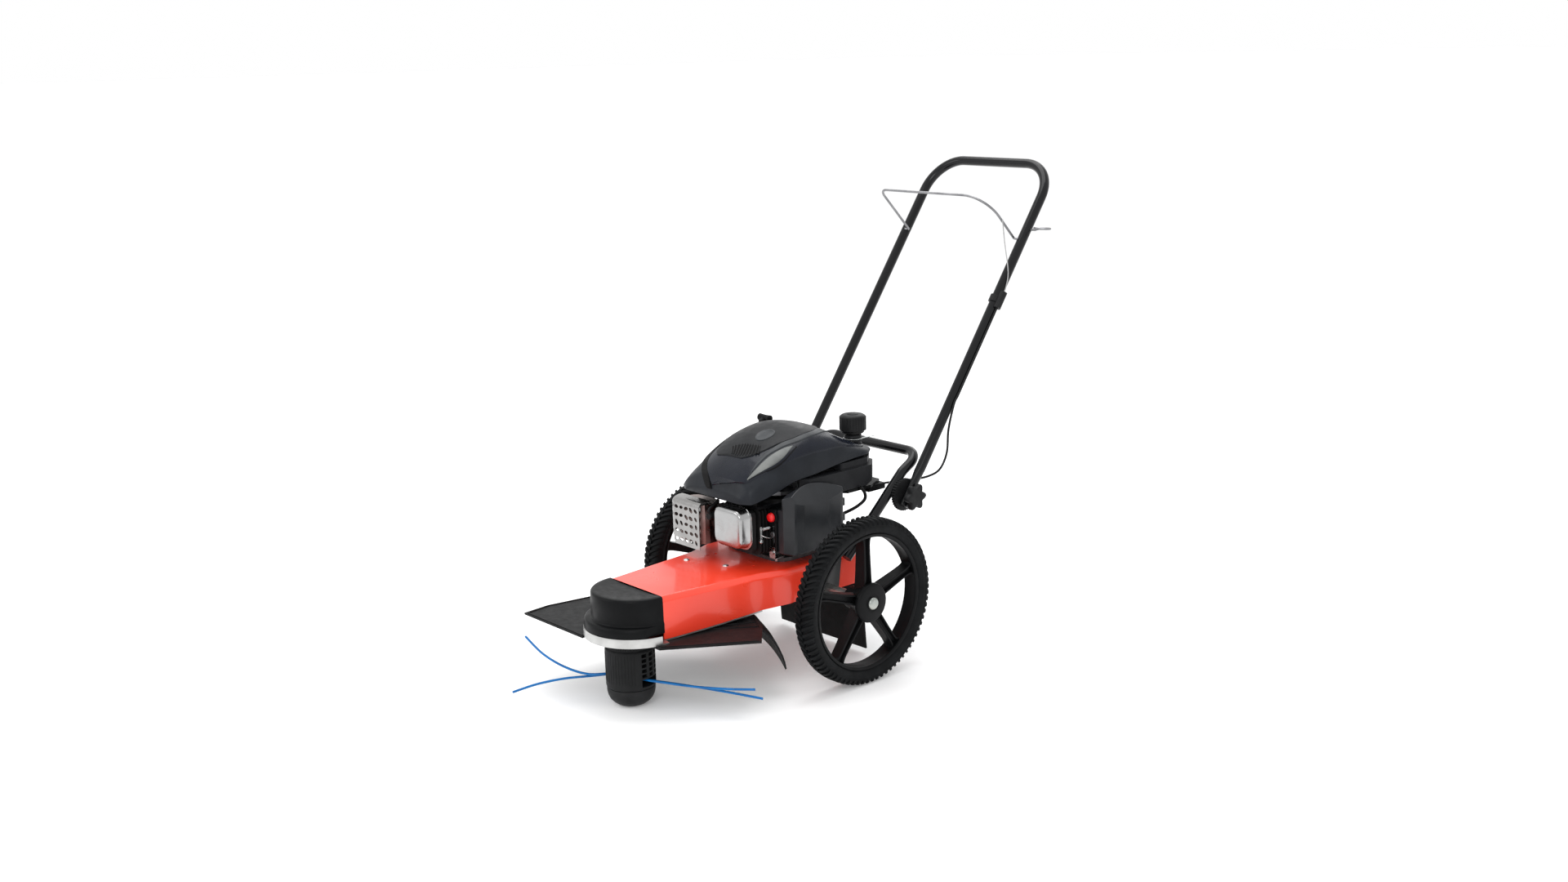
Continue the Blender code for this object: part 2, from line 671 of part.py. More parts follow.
left_one = tip(math.radians(228.9), 0.0551, math.radians(-22.8), UPPER_LINE_Z, 0.2452)
left_two = tip(math.radians(211.5), 0.0029, math.radians(33.9), LOWER_LINE_Z, 0.2415)
right_one = tip(math.radians(14.2), 0.0031, math.radians(12.6), UPPER_LINE_Z, 0.2757)
right_two = tip(math.radians(27.0), -0.0053, math.radians(-1.5), LOWER_LINE_Z, 0.2941)
blue = (0.010, 0.170, 0.620)
right_one.reverse()
right_two.reverse()
piece("line_one", strand(-1, UPPER_LINE_Z, left_one, right_one), blue, 0.0, 0.35,
      origin=(0, HEAD_Y, UPPER_LINE_Z))
piece("line_two", strand(1, LOWER_LINE_Z, left_two, right_two), blue, 0.0, 0.35,
      origin=(0, HEAD_Y, LOWER_LINE_Z))

# Spindle housing: flanged bearing carrier on the bottom plate
flange_z = PLATE_Z + PLATE_THICKNESS + GAP
shape = [(SPINDLE_RADIUS + 0.0005, 0.1500), (HOUSING_RADIUS, 0.1500), (HOUSING_RADIUS, flange_z),
         (HOUSING_RADIUS + 0.005, flange_z), (HOUSING_RADIUS + 0.005, flange_z + 0.0047),
         (HOUSING_RADIUS + 0.002, 0.1860), (SPINDLE_RADIUS + 0.0005, 0.1860)]
piece("spindle_housing", turned(shape, head_centre, "Z", 20, closed=True), steel(), 0.7, 0.5)


# Drive belt from the crank pulley to the head pulley
def belt_loop(offset):
    points = []
    r1 = HEAD_PULLEY_RADIUS + offset
    r2 = DRIVE_PULLEY_RADIUS + offset
    for k in range(13):
        a = math.radians(180 + 180.0 * k / 12)
        points.append((r1 * math.cos(a), HEAD_Y + r1 * math.sin(a)))
    for k in range(13):
        a = math.radians(180.0 * k / 12)
        points.append((r2 * math.cos(a), CRANK_Y + r2 * math.sin(a)))
    return points


belt = cut(prism(belt_loop(0.0015), "Z", PULLEY_Z - 0.0030, PULLEY_Z + 0.0030),
           prism(belt_loop(-0.0042), "Z", PULLEY_Z - 0.0060, PULLEY_Z + 0.0060))
piece("drive_belt", belt, black(), 0.0, 0.8)

# Engine block: crankcase with a flanged foot and a bored cover for the shaft
case = fused(prism(rounded(-0.095, 0.095, -0.090, 0.075, 0.030), "Z", ENGINE_BASE_Z, 0.2520),
             prism(rounded(-0.072, 0.068, -0.075, 0.060, 0.020), "Z", 0.2515, BLOCK_TOP_Z),
             prism(rounded(-0.020, 0.068, -0.078, -0.040, 0.004), "Z", 0.2750, 0.3650))
case = cut(case, rod((0, CRANK_Y, 0.23), (0, CRANK_Y, 0.38), CRANK_RADIUS + GAP, 20))
for x, y in ((-0.082, -0.076), (0.082, -0.076), (-0.082, 0.060), (0.082, 0.060)):
    case = fused(case, turned([(0.007, 0.2515), (0.007, 0.2565)], (x, y, 0), "Z", 6))
piece("crankcase", case, steel(), 0.75, 0.5, sharp=30)

# Cylinder with cooling fins, axis forward
fins = [prism(rounded(-0.012, 0.068, 0.2800, 0.3640, 0.008), "Y", -0.1430, -0.0783)]
for k in range(6):
    low = -0.0870 - 0.0090 * k
    fins.append(prism(rounded(-0.030, 0.084, 0.2680, 0.3680, 0.010, 2), "Y", low - 0.0030, low))
fins.append(prism(rounded(-0.0345, 0.080, 0.2760, 0.3660, 0.010, 2), "Y", -0.1530, -0.1420))
piece("cylinder", fused(*fins), steel(), 0.7, 0.5, sharp=30)

# Valve cover: pressed pillow over the head
rings = []
for y, grow in ((-0.1533, 0.004), (-0.1565, 0.004), (-0.1575, 0.0),
                (-0.1740, -0.002), (-0.1800, -0.008), (-0.1820, -0.016)):
    ring = rounded(-0.0145 - grow, 0.0745 + grow, 0.2860 - grow, 0.3640 + grow, 0.014 + grow * 0.3)
    rings.append([(u, y, v) for u, v in ring])
piece("valve_cover", loft(rings), (0.80, 0.80, 0.80), 0.9, 0.25, sharp=30)

# Spark plug with its boot, beside the valve cover
plug = fused(rod((-0.0275, -0.1533, 0.3420), (-0.0275, -0.1700, 0.3420), 0.0060, 10),
             rod((-0.0275, -0.1680, 0.3420), (-0.0275, -0.1830, 0.3420), 0.0078, 12),
             swept(flowing([(-0.0275, -0.1780, 0.3420), (-0.0275, -0.1810, 0.3560), (-0.0275, -0.1600, 0.3680),
                            (-0.0275, -0.1530, 0.3740)], 4), 0.0030, 8))
piece("spark_plug", plug, black(), 0.0, 0.5)

# Muffler and the perforated guard over its front
muffler = prism(rounded(-0.1462, -0.0540, -0.178, -0.118, 0.020), "Z", 0.2720, 0.3580)
muffler = fused(muffler, rod((-0.080, -0.130, 0.3100), (-0.0303, -0.130, 0.3100), 0.012, 14))
muffler = cut(muffler, fused(prism(rounded(-0.1442, -0.0560, -0.176, -0.120, 0.018), "Z", 0.2740, 0.3560),
                             rod((-0.090, -0.130, 0.3100), (-0.0200, -0.130, 0.3100), 0.007, 10)))
piece("muffler", muffler, (0.10, 0.09, 0.085), 0.7, 0.6, sharp=30)
wall = 0.0015
outer = prism(rounded(-0.1480, -0.0460, -0.1900, -0.0900, 0.026, 4), "Z", 0.2650, 0.3680)
inner = prism(rounded(-0.1480 + wall, -0.0460 - wall, -0.1900 + wall, -0.080, 0.0245, 4), "Z",
              0.2600, 0.3680 - wall)
shield = cut(outer, inner, box(-0.20, 0.0, -0.160, -0.05, 0.25, 0.37))
holes = []
for row in range(4):
    for k in range(4):
        x = -0.1280 + 0.0200 * k + (0.006 if row % 2 else -0.004)
        holes.append(rod((x, -0.20, 0.2820 + 0.0220 * row), (x, -0.182, 0.2820 + 0.0220 * row), 0.0055, 8))
shield = cut(shield, *holes)
piece("muffler_guard", shield, (0.78, 0.78, 0.77), 0.9, 0.22, sharp=30)

# Carburettor beside the cylinder, feeding from the filter box
carb = fused(box(0.0843, 0.1060, -0.1010, -0.0680, 0.2900, 0.3300),
             rod((0.0950, -0.0850, 0.2910), (0.0950, -0.0850, 0.2740), 0.0100, 12),
             rod((0.0950, -0.1000, 0.3120), (0.0950, -0.1110, 0.3120), 0.0060, 10))
piece("carburettor", carb, steel(), 0.8, 0.4, sharp=30)

# Air filter: base with the primer boss, and the crowned cover
base = fused(box(0.0723, 0.1120, -0.0540, 0.0450, 0.2780, 0.3650),
             box(0.0845, 0.1120, -0.1150, -0.0500, 0.3330, 0.3688),
             rod((PRIMER_X, -0.1140, PRIMER_Z), (PRIMER_X, -0.1165, PRIMER_Z), 0.0150, 20),
             box(0.1063, 0.1120, -0.1150, -0.0530, 0.2780, 0.3340))
base = cut(base, rod((PRIMER_X, -0.1200, PRIMER_Z), (PRIMER_X, -0.1060, PRIMER_Z), 0.0104, 20))
piece("air_filter_base", base, black(), 0.0, 0.5, sharp=30)
rings = []
for x, grow, top, crown in ((0.1123, 0.0, 0.3680, 0.0), (0.1255, 0.0, 0.3680, 0.0),
                            (0.1262, 0.0, 0.3980, 0.018), (0.1440, -0.001, 0.3970, 0.018),
                            (0.1500, -0.004, 0.3920, 0.017), (0.1520, -0.010, 0.3840, 0.015)):
    ring = []
    for k in range(9):
        y = -0.1100 - grow + (0.1550 + 2 * grow) * k / 8
        ring.append((x, y, top + crown * math.sin(math.pi * k / 8)))
    ring.append((x, 0.0450 + grow, 0.2730 - grow))
    ring.append((x, -0.0980 - grow, 0.2730 - grow))
    ring.append((x, -0.1100 - grow, 0.2900 - grow))
    rings.append(ring)
piece("air_filter_cover", loft(rings), charcoal(), 0.0, 0.38, sharp=30)
bulb = turned([(0.0, -0.1245), (0.0060, -0.1235), (0.0095, -0.1205), (0.0101, -0.1165),
               (0.0101, -0.1110), (0.0, -0.1110)], (PRIMER_X, 0, PRIMER_Z), "Y", 20)
piece("primer_bulb", bulb, (0.75, 0.01, 0.01), 0.0, 0.3, origin=(PRIMER_X, -0.1165, PRIMER_Z))

# Blower base: plate on the block that carries the shroud and the tank
plate = prism([(-0.135, -0.140), (0.085, -0.140), (0.095, -0.060), (0.095, 0.060), (0.125, 0.080),
               (0.125, 0.150), (0.100, 0.200), (-0.040, 0.200), (-0.120, 0.150), (-0.135, 0.080)],
              "Z", BASE_PLATE_Z, BASE_PLATE_TOP_Z)
plate = cut(plate, rod((0, CRANK_Y, 0.36), (0, CRANK_Y, 0.38), 0.0200, 20))
plate = fused(plate, box(0.096, 0.118, 0.150, 0.200, 0.3570, 0.3700))
piece("blower_base", plate, black(), 0.2, 0.6, sharp=30)

# Crankshaft with the flywheel fan above and the drive pulley below
shaft = turned([(0.0, 0.1960), (CRANK_RADIUS, 0.1960), (CRANK_RADIUS, 0.3850), (0.0, 0.3850)],
               (0, CRANK_Y, 0), "Z", 20)
fan = [shaft, turned([(0.0, 0.3800), (0.0720, 0.3800), (0.0720, 0.3880), (0.0300, 0.3960), (0.0, 0.3960)],
                     (0, CRANK_Y, 0), "Z", 24)]
for k in range(9):
    a = 2 * math.pi * (k + 0.13) / 9
    turn = Matrix.Translation((0, CRANK_Y, 0)) @ Matrix.Rotation(a, 4, "Z")
    blade = box(0.040, 0.071, -0.0015, 0.0015, 0.3860, 0.4040)
    blade.transform(turn)
    fan.append(blade)
piece("crankshaft", fused(*fan), steel(), 0.7, 0.45, origin=(0, CRANK_Y, PULLEY_Z), sharp=30)
piece("drive_pulley", pulley(DRIVE_PULLEY_RADIUS, CRANK_RADIUS + GAP, 0, CRANK_Y), steel(), 0.8, 0.45,
      origin=(0, CRANK_Y, PULLEY_Z))

# Fuel tank: behind the fan with an arm along the left side
tank_z = BASE_PLATE_TOP_Z + GAP
tank = fused(prism([(-0.070, 0.066), (-0.070, 0.160), (-0.030, 0.192), (0.088, 0.192), (0.124, 0.156),
                    (0.124, -0.030), (0.104, -0.040), (0.099, -0.040), (0.099, 0.066)],
                   "Z", tank_z, TANK_SHELF_Z),
             prism([(-0.066, 0.070), (-0.066, 0.158), (-0.028, 0.186), (0.084, 0.186), (0.116, 0.150),
                    (0.116, 0.070)], "Z", TANK_SHELF_Z - 0.001, TANK_TOP_Z),
             rod((NECK_X, NECK_Y, TANK_TOP_Z - 0.004), (NECK_X, NECK_Y, NECK_TOP_Z), NECK_RADIUS, 20))
tank = cut(tank, rod((NECK_X, NECK_Y, TANK_SHELF_Z - 0.020), (NECK_X, NECK_Y, NECK_TOP_Z + 0.02),
                     NECK_BORE_RADIUS, 20))
piece("fuel_tank", tank, black(), 0.0, 0.4, sharp=30)


# Engine shroud: domed cowl over the fan and tank
def shroud_rings(inset, low_shift):
    rings = []
    stations = ((-0.178, 0.386, 0.402, -0.108, 0.072), (-0.165, 0.386, 0.430, -0.130, 0.092),
                (-0.120, 0.400, 0.466, -0.140, 0.106), (-0.060, 0.420, 0.499, -0.142, 0.112),
                (0.000, 0.427, 0.514, -0.142, 0.115), (0.060, 0.436, 0.504, -0.138, 0.116),
                (0.110, 0.440, 0.479, -0.128, 0.114), (0.160, 0.440, 0.456, -0.108, 0.106),
                (0.195, 0.438, 0.447, -0.080, 0.078))
    for i, (y, low, top, xr, xl) in enumerate(stations):
        if i == 0:
            y += inset
        if i == len(stations) - 1:
            y -= inset
        wide = (xl - xr) / 2 - inset
        middle = (xl + xr) / 2
        ring = []
        for k in range(15):
            a = math.pi * k / 14
            c = math.cos(a)
            s = math.sin(a)
            fullness = SHROUD_LEFT_FULLNESS if c > 0 else SHROUD_RIGHT_FULLNESS
            x = middle + wide * math.copysign(abs(c) ** fullness, c)
            z = low + (top - inset - low) * abs(s) ** fullness
            ring.append((x, y, z if 0 < k < 14 else low - low_shift))
        rings.append(ring)
    return rings


shroud = cut(loft(shroud_rings(0.0, 0.0)), loft(shroud_rings(0.0028, 0.03)))
shroud = cut(shroud, rod((NECK_X, NECK_Y, 0.4300), (NECK_X, NECK_Y, 0.5200), NECK_RADIUS + GAP, 24))
posts = []
for x, y in ((-0.110, -0.100), (0.070, -0.105), (-0.112, 0.056)):
    post = rod((x, y, BASE_PLATE_TOP_Z + GAP), (x, y, 0.5400), 0.0060, 10)
    posts.append(common(post, loft(shroud_rings(0.0015, 0.10))))
shroud = fused(shroud, *posts)
piece("engine_shroud", shroud, charcoal(), 0.0, 0.38, sharp=32)

# Vented recoil cover on the crown of the shroud
patch = cut(loft(shroud_rings(-0.0038, 0.0)), loft(shroud_rings(-0.0014, 0.03)))
patch = common(patch, prism([(-0.075, -0.135), (0.050, -0.135), (0.075, -0.030), (0.060, 0.060),
                             (0.030, 0.105), (-0.070, 0.105), (-0.080, 0.0680), (-0.075, 0.020),
                             (-0.095, -0.030)], "Z", 0.42, 0.54))
piece("recoil_cover", patch, black(), 0.0, 0.5, sharp=30)

# Recoil starter grip
pull = Vector((0.0, 0.8, 0.6))
seat = Vector((-0.0950, 0.0200, 0.4932))
hold = seat + pull * 0.026
grip = fused(rod(seat + pull * 0.010, hold, 0.0075, 12),
             rod(hold - Vector((0.020, 0, 0)), hold + Vector((0.020, 0, 0)), 0.0085, 12),
             rod(seat, seat + pull * 0.012, 0.0030, 8))
piece("recoil_grip", grip, black(), 0.0, 0.5, origin=tuple(seat))

# Fuel cap with grip ribs, and its tether
ribs = []
for k in range(32):
    a = 2 * math.pi * k / 32
    r = 0.0300 if k % 2 else 0.0282
    ribs.append((NECK_X + r * math.cos(a), NECK_Y + r * math.sin(a)))
cap_z = NECK_TOP_Z + GAP
neck = (NECK_X, NECK_Y, cap_z)
cap = fused(prism(ribs, "Z", cap_z + 0.0127, cap_z + 0.0407),
            turned([(0.0, 0.0037), (0.0235, 0.0037), (0.0270, 0.0132), (0.0, 0.0132)], neck, "Z", 20),
            turned([(0.0, 0.0397), (0.0270, 0.0397), (0.0240, 0.0447), (0.0, 0.0447)], neck, "Z", 20),
            rod((NECK_X, NECK_Y, cap_z - 0.0233), (NECK_X, NECK_Y, cap_z + 0.0067), NECK_BORE_RADIUS - GAP, 20))
piece("fuel_cap", cap, black(), 0.0, 0.5, origin=neck, sharp=30)
tether = swept(flowing([(0.0811, 0.1600, 0.4685), (0.0900, 0.1720, 0.4725), (0.0960, 0.1880, 0.4735),
                        (0.0880, 0.1960, 0.4715), (0.0780, 0.1880, 0.4695), (0.0728, 0.1765, 0.4675)], 3),
               0.0010, 5)
piece("cap_tether", tether, steel(), 0.8, 0.4)

# Oil filler with its cap at the right rear of the block
oil = fused(rod((-0.0600, 0.0600, 0.2900), (-0.0760, 0.0900, 0.3280), 0.0100, 16),
            rod((-0.0760, 0.0900, 0.3280), (-0.0803, 0.0980, 0.3382), 0.0150, 16))
oil = cut(oil, prism(rounded(-0.072 - GAP, 0.068, -0.075, 0.060 + GAP, 0.020), "Z", 0.25, BLOCK_TOP_Z))
piece("oil_filler_cap", oil, black(), 0.0, 0.5)

# Fuel hose from the tank round to the carburettor side
hose = swept(eased([(0.1290, 0.1140, 0.3780), (0.1330, 0.1230, 0.3640), (0.1310, 0.1240, 0.3480),
                    (0.1200, 0.1080, 0.3320), (0.1020, 0.0820, 0.3180), (0.0980, 0.0620, 0.3150),
                    (0.0980, 0.0454, 0.3150)], 3), 0.0035, 8)
piece("fuel_hose", hose, black(), 0.0, 0.6)

# Lower handle: tube loop bolted to the deck sides
low = [(-LOWER_X, 0.048, 0.2370), (-LOWER_X, 0.2190, 0.3970), (-LOWER_X, LOWER_BAR_Y, LOWER_BAR_Z),
       (LOWER_X, LOWER_BAR_Y, LOWER_BAR_Z), (LOWER_X, 0.2190, 0.3970), (LOWER_X, 0.048, 0.2370)]
path = bent(low, [0.060, 0.038, 0.038, 0.060], 4)
lower = swept(path, TUBE_RADIUS, 12)
bore_path = [path[0] * 2 - path[1]] + path[1:-1] + [path[-1] * 2 - path[-2]]
lower = cut(lower, swept(bore_path, TUBE_RADIUS - TUBE_WALL, 8))
lower = cut(lower, rod((-0.20, PIVOT_Y, PIVOT_Z), (0.20, PIVOT_Y, PIVOT_Z), BOLT_RADIUS + GAP, 12))
piece("lower_handle", lower, black(), 0.1, 0.3)

# Toothed discs, bolts and star knobs at the handle pivot
along_tube = Vector((0, HANDLE_TOP_Y - PIVOT_Y, HANDLE_TOP_Z - PIVOT_Z)).normalized()


def toothed(radius, low_x, high_x):
    shape = []
    for k in range(36):
        a = 2 * math.pi * k / 36
        r = radius if k % 2 else radius - 0.003
        shape.append((PIVOT_Y + r * math.cos(a), PIVOT_Z + r * math.sin(a)))
    disc = prism(shape, "X", low_x, high_x)
    return cut(disc, rod((low_x - 0.01, PIVOT_Y, PIVOT_Z), (high_x + 0.01, PIVOT_Y, PIVOT_Z),
                         BOLT_RADIUS + GAP, 12))


inner_x = LOWER_X + TUBE_RADIUS + GAP
outer_x = inner_x + DISC_THICKNESS + GAP
flat_x = outer_x + DISC_THICKNESS + GAP
flat_half = 0.0080
knob_x = flat_x + 2 * flat_half + GAP
for side, label in ((1, "left"), (-1, "right")):
    inner = toothed(DISC_RADIUS, inner_x, inner_x + DISC_THICKNESS)
    outer = toothed(DISC_RADIUS, outer_x, outer_x + DISC_THICKNESS)
    head_x = LOWER_X - TUBE_RADIUS - GAP
    bolt = fused(turned([(0.0, head_x - 0.004), (0.009, head_x - 0.003), (0.009, head_x), (0.0, head_x)],
                        (0, PIVOT_Y, PIVOT_Z), "X", 12),
                 rod((head_x - 0.0017, PIVOT_Y, PIVOT_Z), (knob_x + 0.014, PIVOT_Y, PIVOT_Z), BOLT_RADIUS, 12))
    star = []
    for k in range(36):
        a = 2 * math.pi * k / 36
        r = KNOB_RADIUS * (0.86 + 0.14 * math.cos(6 * a))
        star.append((PIVOT_Y + r * math.cos(a), PIVOT_Z + r * math.sin(a)))
    knob = fused(prism(star, "X", knob_x + 0.006, knob_x + 0.020),
                 rod((knob_x, PIVOT_Y, PIVOT_Z), (knob_x + 0.010, PIVOT_Y, PIVOT_Z), 0.0130, 16))
    knob = cut(knob, rod((knob_x - 0.01, PIVOT_Y, PIVOT_Z), (knob_x + 0.0145, PIVOT_Y, PIVOT_Z),
                         BOLT_RADIUS + GAP, 12))
    if side < 0:
        inner = mirrored(inner)
        outer = mirrored(outer)
        bolt = mirrored(bolt)
        knob = mirrored(knob)
    pivot = (side * (inner_x + DISC_THICKNESS), PIVOT_Y, PIVOT_Z)
    piece(label + "_inner_disc", inner, black(), 0.0, 0.55, sharp=30)
    piece(label + "_outer_disc", outer, black(), 0.0, 0.55, origin=pivot, sharp=30)
    piece(label + "_pivot_bolt", bolt, steel(), 0.9, 0.3)
    piece(label + "_knob", knob, black(), 0.0, 0.5, origin=(side * knob_x, PIVOT_Y, PIVOT_Z), sharp=40)

# Upper handle: one bent tube, flattened where it meets the discs
foot = Vector((0, PIVOT_Y, PIVOT_Z)) - along_tube * 0.026
near = Vector((0, PIVOT_Y, PIVOT_Z)) + along_tube * 0.044
open_at = Vector((0, PIVOT_Y, PIVOT_Z)) + along_tube * 0.060
top = Vector((0, HANDLE_TOP_Y, HANDLE_TOP_Z))
flat_centre = flat_x + flat_half
left = [(flat_centre, foot.y, foot.z), (flat_centre, near.y, near.z), (HANDLE_X, open_at.y, open_at.z)]
corner = bent([(HANDLE_X, open_at.y, open_at.z), (HANDLE_X, top.y, top.z), (-HANDLE_X, top.y, top.z),
               (-HANDLE_X, open_at.y, open_at.z)], HANDLE_BEND, 6)
path = left[:2] + [tuple(p) for p in corner] + [(-x, y, z) for x, y, z in reversed(left[:2])]
last = len(path) - 1


def handle_squeeze(i):
    if i in (0, 1, last - 1, last):
        return flat_half / TUBE_RADIUS
    return 1.0


def bore_squeeze(i):
    if i in (0, 1, last - 1, last):
        return (flat_half - TUBE_WALL) / (TUBE_RADIUS - TUBE_WALL)
    return 1.0


handle = swept(path, TUBE_RADIUS, 12, handle_squeeze)
first = Vector(path[0]) * 1.2 - Vector(path[1]) * 0.2
final = Vector(path[-1]) * 1.2 - Vector(path[-2]) * 0.2
handle = cut(handle, swept([first] + path[1:-1] + [final], TUBE_RADIUS - TUBE_WALL, 8, bore_squeeze))
hole_x = HANDLE_X - 0.0031
handle = cut(handle, rod((-0.22, PIVOT_Y, PIVOT_Z), (0.22, PIVOT_Y, PIVOT_Z), BOLT_RADIUS + GAP, 12),
             rod((-hole_x, BAIL_PIVOT_Y, BAIL_PIVOT_Z), (hole_x, BAIL_PIVOT_Y, BAIL_PIVOT_Z),
                 BAIL_RADIUS + GAP, 10))
fold_axis = (0, PIVOT_Y, PIVOT_Z)
piece("upper_handle", handle, black(), 0.1, 0.28, origin=fold_axis)

# Bail: sprung wire loop, tight corner on the right and a wide one on the left
end_x = HANDLE_X - 0.0041
path = bent([(-end_x, BAIL_PIVOT_Y, BAIL_PIVOT_Z), (-BAIL_X, BAIL_PIVOT_Y, BAIL_PIVOT_Z),
             (-BAIL_X, BAIL_BAR_Y, BAIL_BAR_Z), (BAIL_X, BAIL_BAR_Y, BAIL_BAR_Z),
             (BAIL_X, BAIL_PIVOT_Y, BAIL_PIVOT_Z), (end_x, BAIL_PIVOT_Y, BAIL_PIVOT_Z)],
            [0.004, 0.022, 0.065, 0.004], 5)
piece("bail", swept(path, BAIL_RADIUS, 8), (0.36, 0.37, 0.38), 0.8, 0.35,
      origin=(0, BAIL_PIVOT_Y, BAIL_PIVOT_Z))

# Rope guide: wire pigtail on the left tube
guide_y = 0.5950
guide_z = PIVOT_Z + (guide_y - PIVOT_Y) * along_tube.z / along_tube.y
path = [(HANDLE_X + TUBE_RADIUS + GAP, guide_y, guide_z - 0.002), (HANDLE_X + 0.0214, guide_y, guide_z - 0.002)]
for k in range(11):
    a = math.radians(180 - 300.0 * k / 10)
    path.append((HANDLE_X + 0.0424 + 0.0190 * math.cos(a), guide_y + 0.0170 * math.sin(a), guide_z + 0.0045 * k / 10))
guide = swept(path, 0.0025, 8)
piece("rope_guide", guide, (0.36, 0.37, 0.38), 0.8, 0.35, origin=fold_axis)

# Cable barrel clipped to the left tube, sheathed cable down the tube, bare wire up to the bail
barrel_low = Vector((CABLE_X, 0.4780, PIVOT_Z + (0.4780 - PIVOT_Y) * along_tube.z / along_tube.y))
barrel_high = barrel_low + along_tube * 0.040
clip = cut(fused(rod(barrel_low, barrel_high, 0.0085, 14),
                 rod(Vector((HANDLE_X, barrel_low.y, barrel_low.z)) + along_tube * 0.012,
                     Vector((HANDLE_X, barrel_low.y, barrel_low.z)) + along_tube * 0.028, 0.0145, 16)),
           rod(Vector((HANDLE_X, barrel_low.y, barrel_low.z)) - along_tube * 0.02,
               Vector((HANDLE_X, barrel_low.y, barrel_low.z)) + along_tube * 0.07, TUBE_RADIUS + GAP, 24))
piece("cable_adjuster", clip, black(), 0.0, 0.5, origin=fold_axis, sharp=30)
run_end = Vector((CABLE_X, 0.3500, PIVOT_Z + (0.3500 - PIVOT_Y) * along_tube.z / along_tube.y))
piece("cable_upper", rod(run_end, barrel_low - along_tube * GAP, CABLE_RADIUS, 8), black(), 0.0, 0.5,
      origin=fold_axis)
lower_cable = swept(eased([run_end - along_tube * GAP, run_end - along_tube * 0.020, (0.1955, 0.3200, 0.4800),
                           (0.1955, 0.3150, 0.4300), (0.1930, 0.2950, 0.3950), (0.1800, 0.2700, 0.3810),
                           (0.1550, 0.2500, 0.3740), (0.1250, 0.2350, 0.3660), (0.1070, 0.2160, 0.3640),
                           (0.1070, 0.2003, 0.3640)], 3), CABLE_RADIUS, 7)
piece("cable_lower", lower_cable, black(), 0.0, 0.5)
lift = Vector((0, -along_tube.z, along_tube.y))
hook = Vector((BAIL_X + 0.0048, BAIL_PIVOT_Y, BAIL_PIVOT_Z)) \
    + Vector((0, BAIL_BAR_Y - BAIL_PIVOT_Y, BAIL_BAR_Z - BAIL_PIVOT_Z)) * 0.464
wire = swept(eased([barrel_high + along_tube * GAP, barrel_high + along_tube * 0.012,
                    barrel_high + along_tube * 0.045 + lift * 0.014, hook + Vector((0.0152, -0.0100, -0.0498)),
                    hook], 3), 0.0012, 6)
piece("bail_wire", wire, steel(), 0.8, 0.35, origin=fold_axis)
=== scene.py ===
# String trimmer mower on two spoked wheels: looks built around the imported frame.
# Metres, +Z up, nose toward -Y, the machine's left side toward +X.
import math
import bmesh
import bpy
from mathutils import Matrix, Vector


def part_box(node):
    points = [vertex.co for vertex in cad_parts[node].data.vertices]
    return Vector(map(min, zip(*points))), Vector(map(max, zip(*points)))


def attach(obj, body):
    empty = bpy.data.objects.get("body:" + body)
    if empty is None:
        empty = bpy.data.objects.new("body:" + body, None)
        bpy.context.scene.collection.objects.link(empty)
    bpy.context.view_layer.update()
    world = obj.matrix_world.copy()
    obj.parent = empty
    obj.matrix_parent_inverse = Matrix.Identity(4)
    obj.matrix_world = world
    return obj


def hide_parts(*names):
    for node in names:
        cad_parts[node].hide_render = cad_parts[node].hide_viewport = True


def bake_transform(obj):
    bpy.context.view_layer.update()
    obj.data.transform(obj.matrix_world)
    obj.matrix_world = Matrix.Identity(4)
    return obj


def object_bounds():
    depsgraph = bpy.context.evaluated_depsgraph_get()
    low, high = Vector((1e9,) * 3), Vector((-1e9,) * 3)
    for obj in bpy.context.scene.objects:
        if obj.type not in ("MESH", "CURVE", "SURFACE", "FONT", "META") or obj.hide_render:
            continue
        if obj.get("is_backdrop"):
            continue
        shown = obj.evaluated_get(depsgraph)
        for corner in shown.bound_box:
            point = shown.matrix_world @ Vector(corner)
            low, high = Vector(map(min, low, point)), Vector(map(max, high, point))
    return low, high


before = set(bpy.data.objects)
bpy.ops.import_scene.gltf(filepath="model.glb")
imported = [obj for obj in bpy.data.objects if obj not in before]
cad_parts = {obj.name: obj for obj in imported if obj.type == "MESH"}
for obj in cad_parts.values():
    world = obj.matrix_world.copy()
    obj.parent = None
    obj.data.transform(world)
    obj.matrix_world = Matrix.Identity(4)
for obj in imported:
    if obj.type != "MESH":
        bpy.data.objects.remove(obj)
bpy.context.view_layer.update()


# Viewpoint, floor and light
# A plain white sweep under large soft lamps, seen from the machine's front left
# at about the height of the handle's bend, as the machine stands in its picture.
def centre_of(node):
    low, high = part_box(node)
    return [(a + b) / 2 for a, b in zip(low, high)]


AXLE_Y = centre_of("axle")[1]
EYE = Vector((2.627403, -2.302201 + AXLE_Y, 1.305997))
EYE_YAW = 0.848774
EYE_PITCH = -0.232584
EYE_ROLL = -0.023672
EYE_LENS = 38.286

